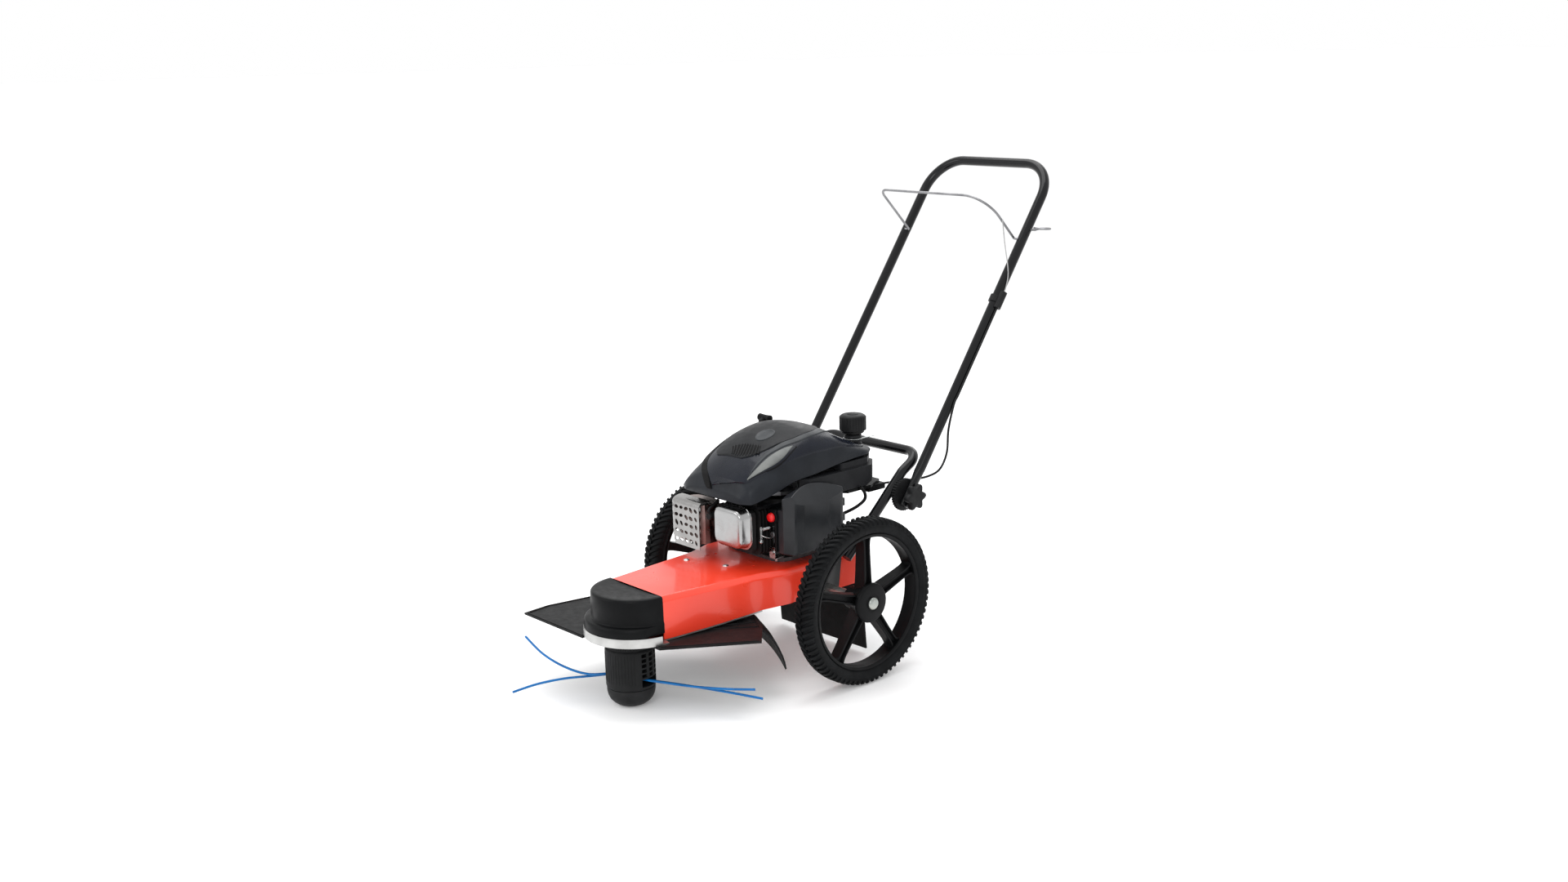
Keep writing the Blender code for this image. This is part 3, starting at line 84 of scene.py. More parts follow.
ahead = Vector((-math.sin(EYE_YAW) * math.cos(EYE_PITCH), math.cos(EYE_YAW) * math.cos(EYE_PITCH),
                math.sin(EYE_PITCH)))
aside = Vector((math.cos(EYE_YAW), math.sin(EYE_YAW), 0))
above = aside.cross(ahead)
tilted_aside = aside * math.cos(EYE_ROLL) + above * math.sin(EYE_ROLL)
tilted_above = above * math.cos(EYE_ROLL) - aside * math.sin(EYE_ROLL)
eye = bpy.data.objects.new("eye", bpy.data.cameras.new("eye"))
eye.data.lens = EYE_LENS
eye.data.sensor_width = 36.0
eye.data.clip_end = 400.0
eye.matrix_world = Matrix((tilted_aside, tilted_above, -ahead)).transposed().to_4x4()
eye.matrix_world.translation = EYE
bpy.context.scene.collection.objects.link(eye)
bpy.context.scene.camera = eye


def lamp(name, place, target, width, height, power):
    light = bpy.data.objects.new(name, bpy.data.lights.new(name, "AREA"))
    light.data.shape = "RECTANGLE"
    light.data.size = width
    light.data.size_y = height
    light.data.energy = power
    light.location = place
    light.rotation_mode = "QUATERNION"
    light.rotation_quaternion = (Vector(target) - Vector(place)).to_track_quat("-Z", "Y")
    bpy.context.scene.collection.objects.link(light)


lamp("overhead", (-0.6, 0.4, 3.4), (0, 0, 0), 2.6, 2.6, 62)
lamp("key", (2.2, -3.0, 2.4), (0, 0, 0.3), 1.4, 1.4, 30)
lamp("front", (-1.8, -3.0, 2.0), (0, 0, 0.2), 1.8, 1.4, 18)
lamp("behind", (-1.6, 2.8, 2.2), (0, 0, 0.4), 2.0, 1.6, 14)

world = bpy.data.worlds.new("studio")
world.use_nodes = True
world.node_tree.nodes["Background"].inputs["Color"].default_value = (1.0, 1.0, 1.0, 1.0)
world.node_tree.nodes["Background"].inputs["Strength"].default_value = 1.0
bpy.context.scene.world = world
bpy.context.scene.view_settings.view_transform = "Standard"

FLOOR_HALF = 120.0
floor_mesh = bpy.data.meshes.new("floor")
floor_mesh.from_pydata([(x * FLOOR_HALF, y * FLOOR_HALF, 0) for x, y in ((-1, -1), (1, -1), (1, 1), (-1, 1))],
                       [], [(0, 1, 2, 3)])
floor = bpy.data.objects.new("floor", floor_mesh)
bpy.context.scene.collection.objects.link(floor)
floor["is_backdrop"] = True


def blank(name):
    made = bpy.data.materials.new(name)
    made.use_nodes = True
    return made, made.node_tree, made.node_tree.nodes["Principled BSDF"]


def noise(tree, scale, detail=3.0, stretch=(1, 1, 1)):
    place = tree.nodes.new("ShaderNodeTexCoord")
    spread = tree.nodes.new("ShaderNodeMapping")
    spread.inputs["Scale"].default_value = stretch
    made = tree.nodes.new("ShaderNodeTexNoise")
    made.inputs["Scale"].default_value = scale
    made.inputs["Detail"].default_value = detail
    tree.links.new(place.outputs["Object"], spread.inputs["Vector"])
    tree.links.new(spread.outputs["Vector"], made.inputs["Vector"])
    return made.outputs["Fac"]


def tinted(tree, value, socket, low, high, start=0.35, end=0.65):
    ramp = tree.nodes.new("ShaderNodeValToRGB")
    ramp.color_ramp.elements[0].position = start
    ramp.color_ramp.elements[1].position = end
    ramp.color_ramp.elements[0].color = (*low, 1.0)
    ramp.color_ramp.elements[1].color = (*high, 1.0)
    tree.links.new(value, ramp.inputs["Fac"])
    tree.links.new(ramp.outputs["Color"], socket)


def white_sweep():
    made, tree, shader = blank("white_sweep")
    tinted(tree, noise(tree, 1.5), shader.inputs["Base Color"], (0.86, 0.86, 0.865), (0.88, 0.88, 0.88))
    shader.inputs["Roughness"].default_value = 0.8
    shader.inputs["Specular IOR Level"].default_value = 0.1
    shader.inputs["Emission Color"].default_value = (1.0, 1.0, 1.0, 1.0)
    shader.inputs["Emission Strength"].default_value = 0.14
    return made


floor_mesh.materials.append(white_sweep())


# Deck
# One folded tray of 3 mm sheet steel, narrow at the nose and flared beside the engine,
# sprayed in gloss orange red. Zinc bolts in its top hold the belt guides underneath.
def mesh_from(verts, faces):
    shape = bmesh.new()
    corners = [shape.verts.new(v) for v in verts]
    for face in faces:
        if len(set(face)) > 2:
            shape.faces.new([corners[i] for i in dict.fromkeys(face)])
    bmesh.ops.remove_doubles(shape, verts=shape.verts, dist=1e-6)
    bmesh.ops.recalc_face_normals(shape, faces=shape.faces)
    mesh = bpy.data.meshes.new("shape")
    shape.to_mesh(mesh)
    shape.free()
    return mesh


def loft(rings, closed=False):
    count = len(rings[0])
    verts = [p for ring in rings for p in ring]
    faces = []
    for r in range(len(rings) if closed else len(rings) - 1):
        s = (r + 1) % len(rings)
        for i in range(count):
            j = (i + 1) % count
            faces.append([r * count + i, r * count + j, s * count + j, s * count + i])
    if not closed:
        faces.append(list(range(count)))
        faces.append(list(range(count * (len(rings) - 1), count * len(rings))))
    return mesh_from(verts, faces)


def placed(u, v, w, axis):
    if axis == "X":
        return (w, u, v)
    if axis == "Y":
        return (u, w, v)
    return (u, v, w)


def prism(outline, axis, low, high):
    return loft([[placed(u, v, w, axis) for u, v in outline] for w in (low, high)])


def rounded(points, radii, steps):
    path = [Vector(p) for p in points]
    made = []
    for i, here in enumerate(path):
        radius = radii[i] if isinstance(radii, (list, tuple)) else radii
        if radius <= 0:
            made.append(here)
            continue
        back = (path[i - 1] - here).normalized()
        onward = (path[(i + 1) % len(path)] - here).normalized()
        half = back.angle(onward) / 2
        if half > math.radians(88):
            made.append(here)
            continue
        reach = radius / math.tan(half)
        centre = here + (back + onward).normalized() * radius / math.sin(half)
        one = here + back * reach - centre
        two = here + onward * reach - centre
        for k in range(steps + 1):
            turn = one.angle(two) * k / steps
            side = (two - one * (two.dot(one) / one.length_squared)).normalized() * radius
            made.append(centre + one * math.cos(turn) + side * math.sin(turn))
    return made


def combined(base, tools, operation):
    main = bpy.data.objects.new("main", base)
    bpy.context.scene.collection.objects.link(main)
    used = []
    for i, mesh in enumerate(tools):
        tool = bpy.data.objects.new("tool" + str(i), mesh)
        bpy.context.scene.collection.objects.link(tool)
        step = main.modifiers.new("step" + str(i), "BOOLEAN")
        step.operation = operation
        step.solver = "EXACT"
        step.object = tool
        used.append(tool)
    bpy.context.view_layer.update()
    result = bpy.data.meshes.new_from_object(main.evaluated_get(bpy.context.evaluated_depsgraph_get()))
    for helper in used + [main]:
        bpy.data.objects.remove(helper, do_unlink=True)
    return result


def cut(base, *tools):
    return combined(base, tools, "DIFFERENCE")


def joined(*meshes):
    shape = bmesh.new()
    for mesh in meshes:
        shape.from_mesh(mesh)
    made = bpy.data.meshes.new("shape")
    shape.to_mesh(made)
    shape.free()
    return made


def around(count):
    return [2 * math.pi * k / count for k in range(count)]


def turned(profile, centre, axis, steps, closed=False):
    rings = []
    for a in around(steps):
        ring = []
        for radius, height in profile:
            p = Vector(placed(radius * math.cos(a), radius * math.sin(a), height, axis))
            ring.append(tuple(p + Vector(centre)))
        rings.append(ring)
    verts = [p for ring in rings for p in ring]
    count = len(profile)
    faces = []
    for k in range(steps):
        n = (k + 1) % steps
        for i in range(count if closed else count - 1):
            j = (i + 1) % count
            faces.append([k * count + i, n * count + i, n * count + j, k * count + j])
    if not closed:
        for end in (0, count - 1):
            if profile[end][0] > 1e-6:
                faces.append([k * count + end for k in range(steps)])
    return mesh_from(verts, faces)


def piece(name, mesh, finish, body="chassis", stands_for=None, sharp=35, edge=0.0, segments=2):
    mesh.name = name
    mesh.transform(Matrix.Translation((0, AXLE_Y, 0)))
    mesh.materials.clear()
    for face in mesh.polygons:
        face.material_index = 0
    mesh.materials.append(finish)
    mesh.shade_smooth()
    mesh.set_sharp_from_angle(angle=math.radians(sharp))
    made = bpy.data.objects.new(name, mesh)
    bpy.context.scene.collection.objects.link(made)
    if edge:
        rounding = made.modifiers.new("edge", "BEVEL")
        rounding.width = edge
        rounding.segments = segments
        rounding.limit_method = "ANGLE"
        rounding.angle_limit = math.radians(28)
        rounding.harden_normals = True
    if body:
        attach(made, body)
    if stands_for:
        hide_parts(stands_for)
    return made


def between(tree, value, socket, low, high, start=0.3, end=0.7):
    span = tree.nodes.new("ShaderNodeMapRange")
    span.inputs["From Min"].default_value = start
    span.inputs["From Max"].default_value = end
    span.inputs["To Min"].default_value = low
    span.inputs["To Max"].default_value = high
    tree.links.new(value, span.inputs["Value"])
    tree.links.new(span.outputs["Result"], socket)


def bumped(tree, shader, value, strength, distance):
    bump = tree.nodes.new("ShaderNodeBump")
    bump.inputs["Strength"].default_value = strength
    bump.inputs["Distance"].default_value = distance
    tree.links.new(value, bump.inputs["Height"])
    tree.links.new(bump.outputs["Normal"], shader.inputs["Normal"])


def enamel(name, shade, light, roughness, coat, shine=0.5):
    made, tree, shader = blank(name)
    tinted(tree, noise(tree, 5.0, 1.0), shader.inputs["Base Color"], shade, light)
    between(tree, noise(tree, 12.0, 1.0), shader.inputs["Roughness"], roughness - 0.03, roughness + 0.04)
    bumped(tree, shader, noise(tree, 9.0, 0.0), 0.004, 0.0004)
    shader.inputs["Specular IOR Level"].default_value = shine
    shader.inputs["Coat Weight"].default_value = coat
    shader.inputs["Coat Roughness"].default_value = 0.06
    return made


def bare_metal(name, shade, light, roughness, stretch=(1, 1, 1), grain=240.0, depth=0.08):
    made, tree, shader = blank(name)
    tinted(tree, noise(tree, 30.0, 5.0), shader.inputs["Base Color"], shade, light)
    between(tree, noise(tree, 45.0, 4.0, stretch), shader.inputs["Roughness"], roughness - 0.06,
            roughness + 0.10)
    bumped(tree, shader, noise(tree, grain, 3.0, stretch), depth, 0.0008)
    shader.inputs["Metallic"].default_value = 1.0
    return made


red_enamel = enamel("red_enamel", (0.80, 0.036, 0.013), (0.86, 0.048, 0.018), 0.30, 0.4)
zinc = bare_metal("zinc_plate", (0.58, 0.60, 0.60), (0.74, 0.76, 0.75), 0.30)

NOSE_Y = -0.4000
WAIST_Y = -0.165
DECK_REAR_Y = 0.105
SEAT_GAP = 0.0003
DECK_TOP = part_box("crankcase")[0].z - SEAT_GAP
SHEET = 0.003
NOSE_HALF = 0.0910
NOSE_TAPER = 0.0290
WAIST_HALF = 0.1200
FLARE = 0.0207
FLARE_LENGTH = 0.060
NOSE_LOW = 0.1544
NOSE_DROP = 0.0166
LEVEL_Y = -0.093
front_stations = (NOSE_Y, -0.375, -0.350, -0.305, -0.260, -0.212)
deck_stations = (*front_stations, -0.180, WAIST_Y, -0.150, -0.120, -0.105, LEVEL_Y, 0.0, DECK_REAR_Y)


def deck_half(y):
    if y < WAIST_Y:
        return NOSE_HALF + NOSE_TAPER * (y - NOSE_Y) / (WAIST_Y - NOSE_Y)
    return WAIST_HALF + FLARE * min((y - WAIST_Y) / FLARE_LENGTH, 1.0)


def deck_bottom(y):
    return NOSE_LOW + NOSE_DROP * min((y - NOSE_Y) / (LEVEL_Y - NOSE_Y), 1.0) ** 1.5


def deck_section(y, inset):
    half = deck_half(y) - inset
    top = DECK_TOP - inset
    low = deck_bottom(y)
    fold = 0.010
    corners = [(-half, low), (-half, top - fold), (-half + fold, top)]
    corners += [(-x, z) for x, z in corners[::-1]]
    bend = 0.0060 - inset
    return rounded([Vector((x, y, z)) for x, z in corners], [0, bend, bend, bend, bend, 0], 4)


def deck_shell():
    rings = []
    for y in deck_stations:
        outer = deck_section(y, 0.0)
        inner = deck_section(min(y, DECK_REAR_Y - SHEET), SHEET)
        rings.append([tuple(p) for p in outer + inner[::-1]])
    shell = loft(rings)
    back = prism([(p.x, p.z) for p in deck_section(DECK_REAR_Y, 0.0005)], "Y", DECK_REAR_Y - SHEET,
                 DECK_REAR_Y - 0.0002)
    return joined(shell, back)


def rod(start, end, radius, sides=24):
    return tube([Vector(start), Vector(end)], radius, sides)


def tube(path, radius, sides, closed=False, squeeze=None):
    points = [Vector(p) for p in path]
    rings = []
    side = None
    for i, here in enumerate(points):
        if closed:
            onward = (points[(i + 1) % len(points)] - points[i - 1]).normalized()
        elif i == 0:
            onward = (points[1] - here).normalized()
        elif i == len(points) - 1:
            onward = (here - points[i - 1]).normalized()
        else:
            onward = ((points[i + 1] - here).normalized() + (here - points[i - 1]).normalized()).normalized()
        if side is None:
            side = Vector((1, 0, 0)) if abs(onward.x) < 0.7 else Vector((0, 0, 1))
        side = (side - onward * side.dot(onward)).normalized()
        up = onward.cross(side)
        width = radius[i] if isinstance(radius, (list, tuple)) else radius
        narrow = squeeze(i) if squeeze else 1.0
        rings.append([tuple(here + side * (width * narrow * math.cos(a)) + up * (width * math.sin(a)))
                      for a in around(sides)])
    return loft(rings, closed)


shaft_hole = rod((0, -0.020, 0.20), (0, -0.020, 0.26), 0.020, 40)
pin_holes = [rod((x, -0.1400, 0.235), (x, -0.1400, 0.25), 0.0036) for x in (0.0655, -0.060)]
deck = cut(deck_shell(), shaft_hole, *pin_holes)
piece("deck_tray", deck, red_enamel, stands_for="engine_deck", sharp=50)


def carriage_bolt(x, y, z, radius, height):
    profile = [(0.0, -0.001), (radius, -0.001), (radius, height * 0.25), (radius * 0.86, height * 0.62),
               (radius * 0.5, height * 0.93), (0.0, height)]
    return turned([(r, z + h) for r, h in profile], (x, y, 0), "Z", 24)


top_bolts = [carriage_bolt(x, y, DECK_TOP, 0.0062, 0.0030)
             for x, y in ((0.0220, -0.1800), (-0.0700, -0.2120))]
piece("deck_top_bolts", joined(*top_bolts), zinc, sharp=50)


# Belt tray and nose cover
# The belt runs in a zinc plated pressing whose half round rim shows as a bright band.
# A satin black moulding drops over it, level with the deck, with a lip round its foot.
def moulded(name, shade, light, roughness, grain=420.0, depth=0.10, shine=0.14):
    made, tree, shader = blank(name)
    shader.inputs["Specular IOR Level"].default_value = shine
    tinted(tree, noise(tree, 22.0, 5.0), shader.inputs["Base Color"], shade, light)
    between(tree, noise(tree, 70.0, 4.0), shader.inputs["Roughness"], roughness - 0.05, roughness + 0.08)
    bumped(tree, shader, noise(tree, grain, 2.0), depth, 0.0007)
    return made


satin_black = moulded("satin_black_plastic", (0.0028, 0.0030, 0.0034), (0.0046, 0.0049, 0.0055), 0.36,
                      shine=0.10)
brushed_zinc = bare_metal("brushed_zinc", (0.46, 0.46, 0.45), (0.56, 0.56, 0.55), 0.36, (1, 1, 14), 160.0,
                          0.06)

HEAD_Y = centre_of("trimmer_head")[1] - AXLE_Y
NOSE_CENTRE_Y = -0.4010
TRAY_RADIUS = 0.1080
HOUSING_HOLE_RADIUS = 0.0183
TRAY_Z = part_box("bottom_plate")[0].z
TRAY_RIM_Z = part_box("head_cover")[0].z - SEAT_GAP
COVER_TOP_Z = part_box("head_cover")[1].z


def oblong(left, right, low, high):
    return [(left, low), (right, low), (right, high), (left, high)]


def nose_outline(radius, back, steps=48):
    points = [(radius, back)]
    for k in range(steps + 1):
        a = math.radians(-180.0 * k / steps)
        points.append((radius * math.cos(a), NOSE_CENTRE_Y + radius * math.sin(a)))
    points.append((-radius, back))
    return points


tray_rows = []
for k in range(19):
    a = math.radians(4 + 86.0 * k / 18)
    tray_rows.append((NOSE_CENTRE_Y - TRAY_RADIUS * math.cos(a), TRAY_RADIUS * math.sin(a), TRAY_Z))
for y in (*front_stations, WAIST_Y):
    tray_rows.append((y, deck_half(y), deck_bottom(y) - SHEET - SEAT_GAP))
tray = loft([[(x, y, z) for x, z in oblong(-half, half, low, low + SHEET)] for y, half, low in tray_rows])
rim = []
for k in range(49):
    a = math.radians(188 + 164 * k / 48)
    section = [(TRAY_RADIUS, TRAY_Z), (TRAY_RADIUS + 0.0006, TRAY_Z + 0.003),
               (TRAY_RADIUS, TRAY_RIM_Z - 0.002), (TRAY_RADIUS - 0.0006, TRAY_RIM_Z),
               (TRAY_RADIUS - 0.0026, TRAY_RIM_Z), (TRAY_RADIUS - 0.0030, TRAY_Z)]
    rim.append([(r * math.cos(a), NOSE_CENTRE_Y + r * math.sin(a), z) for r, z in section])
tray = joined(cut(tray, rod((0, HEAD_Y, 0.13), (0, HEAD_Y, 0.16), HOUSING_HOLE_RADIUS, 48)), loft(rim))
piece("belt_tray", tray, brushed_zinc, stands_for="bottom_plate", sharp=40)

cover_back = NOSE_Y - SEAT_GAP
cover_rows = [(TRAY_RIM_Z + 0.0004, 0.1060), (TRAY_RIM_Z + 0.0016, 0.1070), (0.1790, 0.1066),
              (0.1850, 0.1055), (0.1876, 0.1040), (0.1888, 0.1016), (0.1892, 0.0950), (0.1900, 0.0931),
              (0.1918, 0.0921), (0.1960, 0.0917), (0.2150, 0.0914), (0.2400, 0.0908),
              (COVER_TOP_Z - 0.0028, 0.0898), (COVER_TOP_Z - 0.0012, 0.0882), (COVER_TOP_Z - 0.0004, 0.0860),
              (COVER_TOP_Z - 0.0006, 0.0800), (COVER_TOP_Z - 0.0014, 0.0700), (COVER_TOP_Z - 0.0022, 0.0560),
              (COVER_TOP_Z - 0.0026, 0.0380)]
outside = loft([[(x, y, z) for x, y in nose_outline(radius, cover_back)] for z, radius in cover_rows])
inside = prism(nose_outline(0.0865, cover_back + 0.01), "Z", 0.1600, COVER_TOP_Z - 0.0056)
LIP_HALF = deck_half(NOSE_Y) + 0.0025
trims = [prism(oblong(side * LIP_HALF, side * 0.12, -0.52, -0.39), "Z", 0.14, 0.30) for side in (1, -1)]
cover = cut(outside, inside, *trims)
piece("nose_cover", cover, satin_black, stands_for="head_cover", sharp=42)


# Belt drive under the deck
# Two cast pulleys and a rubber belt carry the engine's turning to the head. They stay the
# frame's own solids, in machined metal and rubber, because only the open underside shows them.
cast_grey = bare_metal("machined_casting", (0.34, 0.35, 0.36), (0.50, 0.51, 0.52), 0.46, depth=0.2)
belt_rubber = moulded("belt_rubber", (0.012, 0.012, 0.013), (0.022, 0.022, 0.023), 0.8, 300.0, 0.3)


def dress(node, finish):
    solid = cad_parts[node]
    solid.data.materials.clear()
    solid.data.materials.append(finish)


for node in ("head_pulley", "drive_pulley", "spindle_housing", "crankshaft"):
    dress(node, cast_grey)
dress("drive_belt", belt_rubber)


# Trimmer head
# A glass filled nylon drum on the spindle. Each end of the line passes through its slotted
# sides, small teeth grip it, and a domed foot below rides on the ground and turns freely.
def socket_of(tree, name):
    return next(item.identifier for item in tree.interface.items_tree
                if item.item_type == "SOCKET" and item.in_out == "INPUT" and item.name == name)


def new_tree(name, inputs):
    tree = bpy.data.node_groups.new(name, "GeometryNodeTree")
    tree.is_modifier = True
    for label, kind in (("Geometry", "Geometry"), ("Shape", "Object"), *inputs, ("Finish", "Material")):
        tree.interface.new_socket(label, in_out="INPUT", socket_type="NodeSocket" + kind)
    tree.interface.new_socket("Geometry", in_out="OUTPUT", socket_type="NodeSocketGeometry")
    return tree, tree.nodes.new("NodeGroupInput").outputs


def copies_on(tree, given, points):
    source = tree.nodes.new("GeometryNodeObjectInfo")
    source.transform_space = "ORIGINAL"
    tree.links.new(given["Shape"], source.inputs["Object"])
    copies = tree.nodes.new("GeometryNodeInstanceOnPoints")
    tree.links.new(points, copies.inputs["Points"])
    tree.links.new(source.outputs["Geometry"], copies.inputs["Instance"])
    return copies


def scaled(tree, vector, factor):
    product = tree.nodes.new("ShaderNodeVectorMath")
    product.operation = "SCALE"
    tree.links.new(vector, product.inputs[0])
    if isinstance(factor, float):
        product.inputs["Scale"].default_value = factor
    else:
        tree.links.new(factor, product.inputs["Scale"])
    return product.outputs["Vector"]


def close_tree(tree, given, instances):
    real = tree.nodes.new("GeometryNodeRealizeInstances")
    tree.links.new(instances, real.inputs["Geometry"])
    coloured = tree.nodes.new("GeometryNodeSetMaterial")
    tree.links.new(real.outputs["Geometry"], coloured.inputs["Geometry"])
    tree.links.new(given["Finish"], coloured.inputs["Material"])
    handed = tree.nodes.new("NodeGroupOutput")
    tree.links.new(coloured.outputs["Geometry"], handed.inputs["Geometry"])
    return tree


def row_tree():
    tree, given = new_tree("copies in a row or ring",
                           (("Copies", "Int"), ("Step", "Vector"), ("Turn", "Vector")))
    row = tree.nodes.new("GeometryNodePoints")
    tree.links.new(given["Copies"], row.inputs["Count"])
    number = tree.nodes.new("GeometryNodeInputIndex").outputs["Index"]
    copies = copies_on(tree, given, row.outputs[0])
    spun = tree.nodes.new("GeometryNodeRotateInstances")
    tree.links.new(copies.outputs["Instances"], spun.inputs["Instances"])
    tree.links.new(scaled(tree, given["Turn"], number), spun.inputs["Rotation"])
    moved = tree.nodes.new("GeometryNodeTranslateInstances")
    moved.inputs["Local Space"].default_value = False
    tree.links.new(spun.outputs["Instances"], moved.inputs["Instances"])
    tree.links.new(scaled(tree, given["Step"], number), moved.inputs["Translation"])
    return close_tree(tree, given, moved.outputs["Instances"])


def grown(tree, shape, values):
    pattern = bpy.data.objects.new("pattern", shape)
    carrier = bpy.data.objects.new("carrier", bpy.data.meshes.new("carrier"))
    for helper in (pattern, carrier):
        bpy.context.scene.collection.objects.link(helper)
    maker = carrier.modifiers.new("maker", "NODES")
    maker.node_group = tree
    for label, value in {"Shape": pattern, **values}.items():
        maker[socket_of(tree, label)] = value
    bpy.context.view_layer.update()
    made = bpy.data.meshes.new_from_object(carrier.evaluated_get(bpy.context.evaluated_depsgraph_get()))
    carrier.modifiers.remove(maker)
    for helper in (pattern, carrier):
        bpy.data.objects.remove(helper, do_unlink=True)
    return made


rows_and_rings = row_tree()


def repeated(shape, copies, finish, step=(0, 0, 0), turn=(0, 0, 0)):
    return grown(rows_and_rings, shape, {"Copies": copies, "Step": step, "Turn": turn, "Finish": finish})


def shifted(mesh, offset=(0, 0, 0), spin=0.0, axis="Z"):
    mesh.transform(Matrix.Translation(offset) @ Matrix.Rotation(spin, 4, axis))
    return mesh


nylon_black = moulded("glass_filled_nylon", (0.0080, 0.0084, 0.0088), (0.0125, 0.0130, 0.0135), 0.50, 900.0,
                      0.2)
worn_nylon = moulded("worn_nylon_foot", (0.0085, 0.0087, 0.0092), (0.0170, 0.0172, 0.0178), 0.48, 260.0, 0.3)

HEAD_RADIUS = 0.0513
HEAD_TURN = math.radians(18)
SLOT_ROWS = 5
SLOT_COLUMNS = 3
SLOT_PITCH = 0.0108
COLUMN_TURN = 21.0
drum_profile = [(0.0, 0.0412), (0.0488, 0.0412), (0.0503, 0.0424), (0.0511, 0.0445), (HEAD_RADIUS, 0.0475),
                (HEAD_RADIUS, 0.1205), (0.0507, 0.1228), (0.0492, 0.1248), (0.0476, 0.1258), (0.0470, 0.1275),
                (0.0470, 0.1455), (0.0462, 0.1460), (0.0, 0.1460)]
drum = turned(drum_profile, (0, 0, 0), "Z", 96)
slots = []
for side in (0, 1):
    for column in range(SLOT_COLUMNS):
        across = math.radians(180 * side + COLUMN_TURN * (column - 1))
        slot = shifted(prism(oblong(0.0395, 0.060, -0.0058, 0.0058), "Z", 0.0680, 0.0756), spin=across)
        slots.append(repeated(slot, SLOT_ROWS, nylon_black, step=(0, 0, SLOT_PITCH)))
    eyelet = prism(oblong(0.020, 0.060, -0.0240, 0.0240), "Z", 0.0480, 0.0645)
    slots.append(shifted(eyelet, spin=math.pi * side))
drum = cut(drum, *slots)
collar_rib = loft([[(0.0466, -0.0010, z), (0.0481, -0.0005, z), (0.0481, 0.0005, z), (0.0466, 0.0010, z)]
                   for z in (0.1282, 0.1448)])
drum_rib = loft([[(0.0508, -0.0012, z), (0.0519, -0.00048, z), (0.0519, 0.00048, z), (0.0508, 0.0012, z)]
                 for z in (0.0560, 0.1190)])
COLLAR_RIBS = 60
collar_ribs = repeated(collar_rib, COLLAR_RIBS, nylon_black, turn=(0, 0, 2 * math.pi / COLLAR_RIBS))
grip_ribs = [shifted(repeated(drum_rib.copy(), 13, nylon_black, turn=(0, 0, math.radians(7.5))),
                     spin=math.radians(start)) for start in (45, 225)]
drum = joined(drum, collar_ribs, *grip_ribs,
              turned([(0.0, 0.0215), (0.0050, 0.0215), (0.0050, 0.0420), (0.0, 0.0420)], (0, 0, 0), "Z", 24),
              turned([(0.0, 0.1400), (0.0125, 0.1420), (0.0125, 0.2215), (0.0, 0.2215)], (0, 0, 0), "Z", 32))
piece("trimmer_drum", shifted(drum, (0, HEAD_Y, 0), HEAD_TURN), nylon_black, "head",
      stands_for="trimmer_head", sharp=35)

foot_profile = [(0.0130, 0.0250), (0.0130, 0.0006), (0.0180, 0.0000), (0.0240, 0.0006), (0.0320, 0.0042),
                (0.0390, 0.0094), (0.0445, 0.0155), (0.0480, 0.0232), (0.0498, 0.0320), (0.0499, 0.0385),
                (0.0492, 0.0404), (0.0060, 0.0404), (0.0060, 0.0250)]
piece("domed_foot", turned(foot_profile, (0, HEAD_Y, 0), "Z", 96, closed=True), worn_nylon, "mow_ball",
      stands_for="mow_ball")
foot_bolt = turned([(0.0, 0.0152), (0.0100, 0.0152), (0.0110, 0.0162), (0.0110, 0.0205), (0.0, 0.0205)],
                   (0, HEAD_Y, 0), "Z", 6)
piece("foot_bolt", foot_bolt, zinc, "head", sharp=20)


# Trimming line
# Two lengths of mid blue extruded nylon, 5 mm thick, pass right through the head. Their four
# free ends keep the bend of the reel that they were cut from.
blue_nylon = moulded("blue_nylon_line", (0.003, 0.110, 0.340), (0.006, 0.150, 0.430), 0.34, 500.0, 0.05,
                     shine=0.3)


def flowing(points, steps):
    knots = [Vector(p) for p in points]
    path = []
    for i in range(len(knots) - 1):
        before = knots[max(i - 1, 0)]
        after = knots[min(i + 2, len(knots) - 1)]
        for k in range(steps):
            t = k / steps
            path.append((knots[i] * 2 + (knots[i + 1] - before) * t
                         + (before * 2 - knots[i] * 5 + knots[i + 1] * 4 - after) * t * t
                         + (knots[i] * 3 - before - knots[i + 1] * 3 + after) * t ** 3) / 2)
    path.append(knots[-1])
    return path


LINE_RADIUS = 0.0025
UPPER_LINE_Z = 0.0593
LOWER_LINE_Z = 0.0532
across = Vector((math.cos(HEAD_TURN), math.sin(HEAD_TURN), 0))
along = Vector((-math.sin(HEAD_TURN), math.cos(HEAD_TURN), 0))


def line_tip(angle, rise, sweep, level, reach):
    points = []
    for r in (reach, reach * 0.79, reach * 0.57, reach * 0.36):
        share = (r - 0.05) / (reach - 0.05)
        a = math.radians(angle + sweep * share)
        points.append((r * math.cos(a), HEAD_Y + r * math.sin(a), level + rise * share * share))
    return points


for name, node, sign, level, left, right in (
        ("upper_strand", "line_one", -1, UPPER_LINE_Z, line_tip(228.9, 0.0551, -22.8, UPPER_LINE_Z, 0.2452),
         line_tip(14.2, 0.0031, 12.6, UPPER_LINE_Z, 0.2757)),
        ("lower_strand", "line_two", 1, LOWER_LINE_Z, line_tip(211.5, 0.0029, 33.9, LOWER_LINE_Z, 0.2415),
         line_tip(27.0, -0.0053, -1.5, LOWER_LINE_Z, 0.2941))):
    middle = [Vector((0, HEAD_Y, level)) + along * (sign * 0.0078) + across * r
              for r in (-0.040, -0.015, 0.015, 0.040)]
    strand = tube(flowing(left + middle + right[::-1], 8), LINE_RADIUS, 12)
    piece(name, strand, blue_nylon, "head", stands_for=node)


